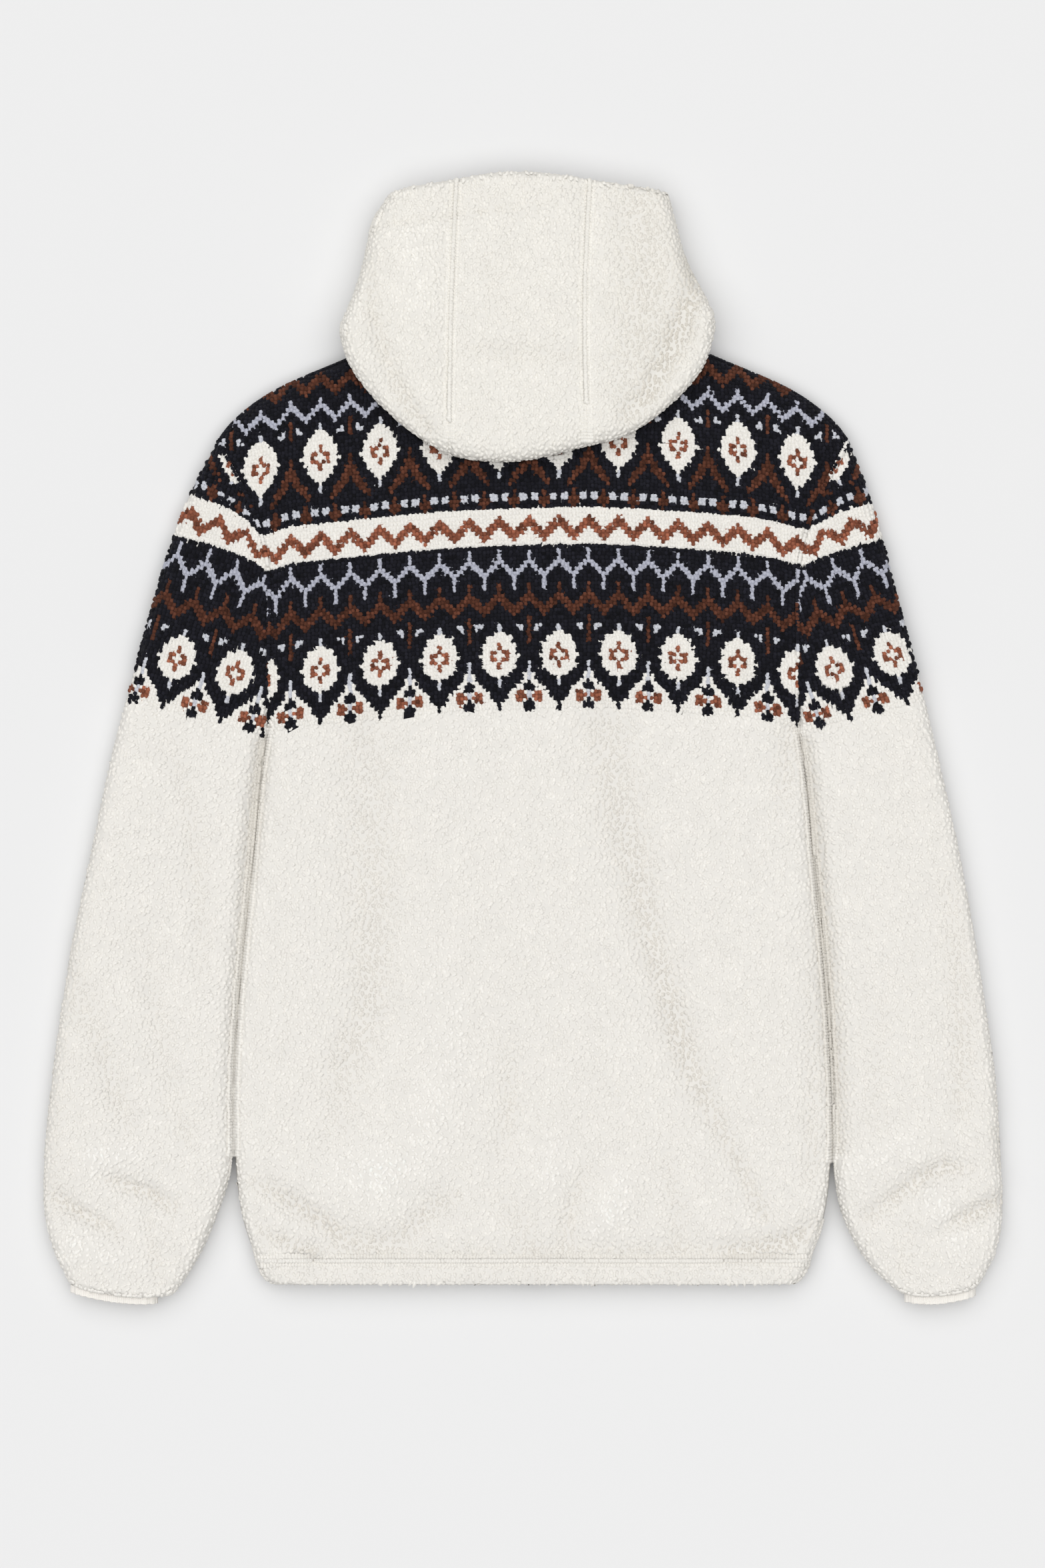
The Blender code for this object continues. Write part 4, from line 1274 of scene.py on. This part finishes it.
    def sow(
        self,
        shell: bpy.types.Object,
        name: str,
        spacing: float,
        knit: Knit,
        node: str,
        seeds: Seeds,
        heights: tuple[float, float],
        comb: tuple[float, float],
    ) -> bpy.types.Object:
        """Grow pile on part of a shell.

        Args:
            shell: The shell.
            name: The new piece.
            spacing: Least distance between two scattered tufts, in metres.
            knit: How the piece is coloured.
            node: The solid that the shell is made from.
            seeds: Roots of the tufts that have a set place.
            heights: The part of the shell that is sown, as heights above the hem.
            comb: The direction, seen from above, in which the tufts lie.

        Returns:
            The tufts as one mesh.
        """
        mesh = shell.data.copy()
        pile = placed(name, mesh)
        centres, normals = read(mesh.polygons, "center", 3), read(mesh.polygons, "normal", 3)
        places = on_jacket(centres)
        grows = (places[:, 1] >= heights[0]) & (places[:, 1] < heights[1])
        charted = (knit.chart_row(places) < self.LAST_ROW) & (normals[:, 2] > self.LEVEL)
        grows &= ~charted
        grows[grows] = self.cover.shows(centres[grows], normals[grows], node)
        mesh.attributes.new("grows", "BOOLEAN", "FACE").data.foreach_set("value", grows)
        up = on_jacket(seeds.places)[:, 1]
        self._plant(mesh, seeds.only((up >= heights[0]) & (up < heights[1])))
        self.seed += 1
        self.scatter.inputs["Distance Min"].default_value = spacing
        self.scatter.inputs["Seed"].default_value = self.seed
        self.combed.inputs["Vector"].default_value = (*comb, 0.0)
        apply_modifier(pile, "NODES", node_group=self.sower)
        self._dress(pile.data, knit)
        return pile

    def _plant(self, mesh: bpy.types.Mesh, seeds: Seeds) -> None:
        """Add seeds to a mesh as loose points."""
        first = len(mesh.vertices)
        mesh.vertices.add(len(seeds.places))
        move(mesh, np.vstack([read(mesh.vertices, "co", 3)[:first], seeds.places]))
        ups = np.vstack([np.zeros((first, 3)), seeds.normals])
        layer = mesh.attributes.new("up", "FLOAT_VECTOR", "POINT")
        layer.data.foreach_set("vector", ups.astype(np.float32).ravel())
        planted = np.arange(len(mesh.vertices)) >= first
        mesh.attributes.new("seed", "BOOLEAN", "POINT").data.foreach_set("value", planted)

    def _dress(self, mesh: bpy.types.Mesh, knit: Knit) -> None:
        """Colour each tuft by its root, paint shade into it in the creases and light on the ridges, and keep
        all above the floor.
        """
        size = len(self.tufts.objects[0].data.vertices)
        points = read(mesh.vertices, "co", 3).reshape(-1, size, 3)
        roots = points.mean(axis=1)
        places = on_jacket(roots)
        colours = knit.colours(places)
        change = np.where(colours.max(axis=1) < self.DARK, self.DARK_CHANGE, self.LIGHT_CHANGE)
        change *= self.draw.standard_normal(len(roots)).clip(-self.WIDEST, self.WIDEST)
        colours = colours * (1 + change)[:, None]
        self._lower(points, colours)
        figure = (knit.chart_row(places) < len(CHART)) & (colours.max(axis=1) > self.FIGURE)
        points[figure, :, 2] += self.STAND
        # painted shade and light: tufts are painted darker in the creases, lighter on the ridges, a little
        # warmer in the shade
        colours = colours * (1 - np.array(self.CREASE_SHADE) * creased(roots)[:, None])
        points = points.reshape(-1, 3)
        points[:, 2] = np.maximum(points[:, 2], self.FLOOR)
        move(mesh, points)
        paint(mesh, colours.clip(0, self.BRIGHTEST).repeat(size, axis=0), "POINT")
        self._lay_out(mesh, points)

    def _lower(self, points: np.ndarray, colours: np.ndarray) -> None:
        """Lower the light tufts, whose fibres scatter the light so much that little relief shows."""
        model = read(self.tufts.objects[0].data.vertices, "co", 3)
        foot = points[:, model[:, 2] < 0].mean(axis=1)
        axis = points[:, model[:, 2].argmax()] - foot
        axis /= np.linalg.norm(axis, axis=1)[:, None]
        lightness = ((colours.max(axis=1) - self.LIGHT_FROM) / self.LIGHT_OVER).clip(0, 1)
        lost = lightness * (1 - self.LIGHT_RELIEF)
        height = ((points - foot[:, None]) * axis[:, None]).sum(axis=2) - self.sunk
        points -= (lost[:, None] * height.clip(min=0))[:, :, None] * axis[:, None]

    def _lay_out(self, mesh: bpy.types.Mesh, points: np.ndarray) -> None:
        """Give the pile a map seen from above, through which its colours can be baked."""
        for old in list(mesh.uv_layers):
            mesh.uv_layers.remove(old)
        flat = points[:, :2]
        spread = (flat - flat.min(axis=0)) / np.ptp(flat, axis=0)
        layer = mesh.uv_layers.new(name=BAKE_MAP)
        corners = spread[whole(mesh.loops, "vertex_index")]
        layer.uv.foreach_set("vector", corners.astype(np.float32).ravel())


# ---------------------------------------------------------------- the jacket


@dataclass(frozen=True)
class Cut:
    """The flat size of a cloth piece before it is sewn, in metres."""

    width: float
    length: float
    area: float


@dataclass
class Workshop:
    """What every part of the jacket is made with."""

    shells: Shells
    pile: Pile
    pile_finish: bpy.types.Material
    made: list[bpy.types.Object] = field(default_factory=list)

    def finish(
        self,
        piece: bpy.types.Object,
        material: bpy.types.Material,
        body: str = GARMENT,
    ) -> None:
        """Dress a piece and fasten it to its body.

        Args:
            piece: The piece.
            material: Its finish.
            body: The body that it moves with.
        """
        piece.data.materials.clear()
        piece.data.materials.append(material)
        piece.data.polygons.foreach_set("material_index", [0] * len(piece.data.polygons))
        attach(piece, body)
        self.made.append(piece)
        piece.data.calc_loop_triangles()
        log.info("%s: %d triangles", piece.name, len(piece.data.loop_triangles))


@dataclass(frozen=True)
class ClothPiece:
    """A cut piece of pile fabric: its solid, its cut and how it is made here."""

    node: str
    slot: str
    cut: Cut
    knit: Knit
    rests_on: tuple[str, ...] = ()
    levels: int = 2
    spacing: float = 3.0 * MM
    yoke_from: float | None = None      # height where the chart begins
    yoke_facing: float = 1.0
    parts: tuple[tuple[str, float, float], ...] = (("", -BEYOND, BEYOND),)
    gaps: tuple[Gap, ...] = ()
    comb: tuple[float, float] = (0.0, 1.0)

    def make(self, shop: Workshop) -> None:
        """Build the shell and its pile."""
        shell = shop.shells.smooth(self.node, f"{self.node}_cloth", self.levels)
        if self.yoke_from is not None:
            shop.shells.refine(shell, self.yoke_from, self.yoke_facing)
        seeds = shop.pile.stitch_seeds(shell, self.knit, self.node)
        seeds += shop.pile.edge_seeds(shell, self.node)
        for gap in self.gaps:
            seeds += shop.pile.bridge_seeds(gap)
        piles = []
        for part, low, high in self.parts:
            name = f"{self.node}_pile{part}"
            about = (self.spacing, self.knit, self.node, seeds, (low, high), self.comb)
            piles.append(shop.pile.sow(shell, name, *about))
        shop.shells.colour(shell, self.knit)
        for piece in (shell, *piles):
            shop.finish(piece, shop.pile_finish)
        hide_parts(self.node)


@dataclass(frozen=True)
class Torso:
    """The back, the two fronts and the hem casing."""

    yoke_from: float = 412.0
    yoke_from_in_front: float = 394.0
    waist_from: float = 205.0
    back: Cut = Cut(0.450, 0.690, 0.285)
    front: Cut = Cut(0.215, 0.690, 0.128)
    hem_back: Cut = Cut(0.420, 0.020, 0.0080)
    hem_front: Cut = Cut(0.200, 0.020, 0.0038)
    gaps: tuple[Gap, ...] = (
        Gap(1.0, ((-196, 408), (-203.5, 350), (-212.5, 257), (-217.5, 200), (-220, 150), (-220, 88))),
        Gap(1.2, ((196, 408), (203.5, 350), (212.5, 257), (217.5, 200), (220, 150), (220, 88))),
        Gap(0.5, ((-202, 20), (204, 20))),
    )

    def make(self, shop: Workshop) -> None:
        """Build the torso."""
        strips = (
            ("_skirt", -BEYOND, self.waist_from),
            ("_waist", self.waist_from, self.yoke_from),
            ("_yoke", self.yoke_from, BEYOND),
        )
        fronts = ("front_left", "front_right")
        body = BodyKnit(CREAM)
        ClothPiece(
            "back",
            "sherpa_banded",
            self.back,
            body,
            fronts,
            yoke_from=self.yoke_from,
            parts=strips,
            gaps=self.gaps,
        ).make(shop)
        for node in fronts:
            ClothPiece(
                node,
                "sherpa_cream",
                self.front,
                body,
                levels=1,
                yoke_from=self.yoke_from_in_front,
                yoke_facing=-1.0,
            ).make(shop)
        under = ("hem_front_left", "hem_front_right")
        ClothPiece("hem_back", "sherpa_cream", self.hem_back, Knit(CREAM), under).make(shop)
        for node in under:
            ClothPiece(node, "sherpa_cream", self.hem_front, Knit(CREAM), levels=1).make(shop)


@dataclass(frozen=True)
class Sleeves:
    """The two sleeves."""

    cut: Cut = Cut(0.420, 0.620, 0.146)
    yoke_from: float = 395.0
    left: SleeveKnit = SleeveKnit(-1, 216.8, 19.0, 20.5)
    right: SleeveKnit = SleeveKnit(1, 220.0, 11.0, 18.0)

    def make(self, shop: Workshop) -> None:
        """Build the sleeves."""
        for node, knit in (("sleeve_left", self.left), ("sleeve_right", self.right)):
            comb = (-knit.side * sin(knit.TILT), cos(knit.TILT))
            ClothPiece(
                node,
                "sherpa_banded",
                self.cut,
                knit,
                yoke_from=self.yoke_from,
                yoke_facing=0.0,
                comb=comb,
            ).make(shop)


@dataclass(frozen=True)
class Hood:
    """The hood's strip and its two sides."""

    centre: Cut = Cut(0.105, 0.320, 0.0320)
    side: Cut = Cut(0.200, 0.290, 0.042)
    spacing: float = 2.8 * MM
    gaps: tuple[Gap, ...] = (
        Gap(0.7, ((-56, 808), (-57, 740), (-60, 690), (-65, 618))),
        Gap(0.7, ((41, 808), (38, 740), (37, 690), (38, 618))),
    )

    def make(self, shop: Workshop) -> None:
        """Build the hood."""
        hood = (
            ("hood_centre", self.centre, self.gaps),
            ("hood_left", self.side, ()),
            ("hood_right", self.side, ()),
        )
        for node, cut, gaps in hood:
            ClothPiece(
                node,
                "sherpa_ivory",
                cut,
                Knit(IVORY),
                ("back",),
                spacing=self.spacing,
                gaps=gaps,
            ).make(shop)


@dataclass(frozen=True)
class Cuffs:
    """The smooth binding at the end of each sleeve."""

    cut: Cut = Cut(0.150, 0.010, 0.0015)
    gather: float = 5.0 * MM
    gather_depth: float = 0.35 * MM
    uneven: float = 1.4         # how far a gather strays from its place, in radians
    uneven_rate: float = 190.0  # how fast that changes, in radians for each metre
    levels: int = 3

    def make(self, shop: Workshop) -> None:
        """Build both cuffs."""
        binding = BindingFinish().material()
        for side in ("left", "right"):
            node = f"cuff_{side}"
            cuff = shop.shells.smooth(node, f"{node}_binding", self.levels)
            points = read(cuff.data.vertices, "co", 3)
            normals = read(cuff.data.vertices, "normal", 3)
            x = points[:, 0]
            wave = np.sin(x * 2 * pi / self.gather + self.uneven * np.sin(x * self.uneven_rate))
            points += normals * (self.gather_depth * wave)[:, None]
            move(cuff.data, points)
            shop.finish(cuff, binding)
            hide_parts(node)


@dataclass(frozen=True)
class Zip:
    """The zip of the hidden centre front: tapes, teeth, slider and pull tab."""

    pitch: float = 2.0 * MM
    tooth_reach: float = 2.2 * MM
    tooth_width: float = 1.15 * MM
    tooth_height: float = 1.9 * MM
    tooth_out: float = 0.5 * MM     # how far each tape's teeth stand from the middle
    rounding: float = 0.22 * MM
    crisp: float = radians(40)      # edges that are sharper than this are rounded and stay crisp
    flat: float = radians(2)        # and those that are flatter than this go

    def make(self, shop: Workshop) -> None:
        """Build the zip."""
        tape, metal = TapeFinish().material(), MetalFinish().material()
        for side in ("left", "right"):
            node = frame["nodes"][f"zip_tape_{side}"]
            node.data.materials.clear()
            node.data.materials.append(tape)
        teeth = self.teeth()
        shop.finish(teeth, metal)
        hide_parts("zip_chain")
        for node, body in (("zip_slider", GARMENT), ("zip_pull", "zip_pull")):
            piece = self.softened(node)
            shop.finish(piece, metal, body)
            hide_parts(node)

    def teeth(self) -> bpy.types.Object:
        """Model one tooth, and stand a row of them from each tape."""
        low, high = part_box("zip_chain")
        middle = (low + high) / 2
        tooth = modelled(
            "zip_teeth",
            bpy.ops.mesh.primitive_cube_add,
            size=1.0,
            scale=(self.tooth_reach, self.tooth_width, self.tooth_height),
        )
        with editing("SELECT"):
            bpy.ops.mesh.bevel(offset=self.rounding, segments=1)
        pairs = int((high.y - low.y) / self.pitch)
        corners = read(tooth.data.vertices, "co", 3)
        faces = [list(face.vertices) for face in tooth.data.polygons]
        points, rows = [], []
        for number in range(2 * pairs):
            out = self.tooth_out if number % 2 else -self.tooth_out
            at = np.array((middle.x + out, low.y + (number + 0.5) * self.pitch / 2, middle.z))
            rows += [[len(points) * len(corners) + v for v in face] for face in faces]
            points.append(corners + at)
        mesh = bpy.data.meshes.new("zip_teeth")
        mesh.from_pydata(np.concatenate(points).tolist(), [], rows)
        tooth.data = mesh
        mesh.shade_smooth()
        mesh.set_sharp_from_angle(angle=self.crisp)
        return tooth

    def softened(self, node: str) -> bpy.types.Object:
        """Copy a metal solid and round its edges."""
        piece = placed(f"{node}_cast", frame["nodes"][node].data.copy())
        with editing("SELECT"):
            bpy.ops.mesh.remove_doubles(threshold=JOIN)
            bpy.ops.mesh.dissolve_limited(angle_limit=self.flat)
        limit = {"limit_method": "ANGLE", "angle_limit": self.crisp}
        apply_modifier(piece, "BEVEL", width=self.rounding, segments=2, **limit)
        piece.data.shade_smooth()
        piece.data.set_sharp_from_angle(angle=self.crisp)
        return piece


# ---------------------------------------------------------------- the studio


@dataclass(frozen=True)
class Studio:
    """Pale floor, soft light from above and a camera that looks straight down."""

    frame_height: float = 1.1525    # what the photograph shows, at the height of the cloth
    cloth_height: float = 0.019
    aim: tuple[float, float] = (-0.0005, -0.0330)
    camera_height: float = 3.2
    sensor: float = 36.0
    floor_size: float = 8.0
    floor_below: float = 0.3 * MM
    room: float = 0.23
    softbox: float = 2.95
    softbox_spread: float = radians(105)
    softbox_from: tuple[float, float, float] = (-0.06, 0.13, 1.0)

    def make(self) -> None:
        """Build the studio."""
        scene = bpy.context.scene
        scene.view_settings.view_transform = "Standard"
        self.floor()
        self.camera()
        self.lights()

    def floor(self) -> None:
        """Lay the floor."""
        place = (0, 0, -self.floor_below)
        floor = modelled("floor", bpy.ops.mesh.primitive_plane_add, size=self.floor_size, location=place)
        floor.data.materials.append(FloorFinish().material())

    def camera(self) -> None:
        """Hang the camera over the jacket."""
        data = bpy.data.cameras.new("camera")
        data.sensor_fit = "VERTICAL"
        data.sensor_height = self.sensor
        data.lens = self.sensor * (self.camera_height - self.cloth_height) / self.frame_height
        data.clip_end = 50.0
        camera = placed("camera", data)
        camera.location = (*self.aim, self.camera_height)
        bpy.context.scene.camera = camera

    def lights(self) -> None:
        """Light the room evenly from all round, and from above with a slight lean to the upper left."""
        world = bpy.data.worlds.new("studio")
        world.use_nodes = True
        background = world.node_tree.nodes["Background"]
        background.inputs["Color"].default_value = (1.0, 1.0, 1.0, 1.0)
        background.inputs["Strength"].default_value = self.room
        bpy.context.scene.world = world
        data = bpy.data.lights.new("softbox", "SUN")
        data.energy = self.softbox
        data.angle = self.softbox_spread
        lamp = placed("softbox", data)
        lamp.rotation_euler = Vector(self.softbox_from).to_track_quat("Z", "Y").to_euler()


def main() -> None:
    """Build the jacket and the studio."""
    logging.basicConfig(level=logging.INFO, format="%(message)s")
    Studio().make()
    pile = Pile(Tuft(), Cover())
    shop = Workshop(Shells(), pile, PileFinish("sherpa").material())
    for part in (Torso(), Sleeves(), Hood(), Cuffs(), Zip()):
        part.make(shop)
        log.info("%s done", type(part).__name__)
    for tuft in list(pile.tufts.objects):
        bpy.data.objects.remove(tuft)
    bpy.data.collections.remove(pile.tufts)
    total = sum(len(piece.data.loop_triangles) for piece in shop.made)
    log.info("%d pieces, %d triangles", len(shop.made), total)


if __name__ == "__main__":
    main()
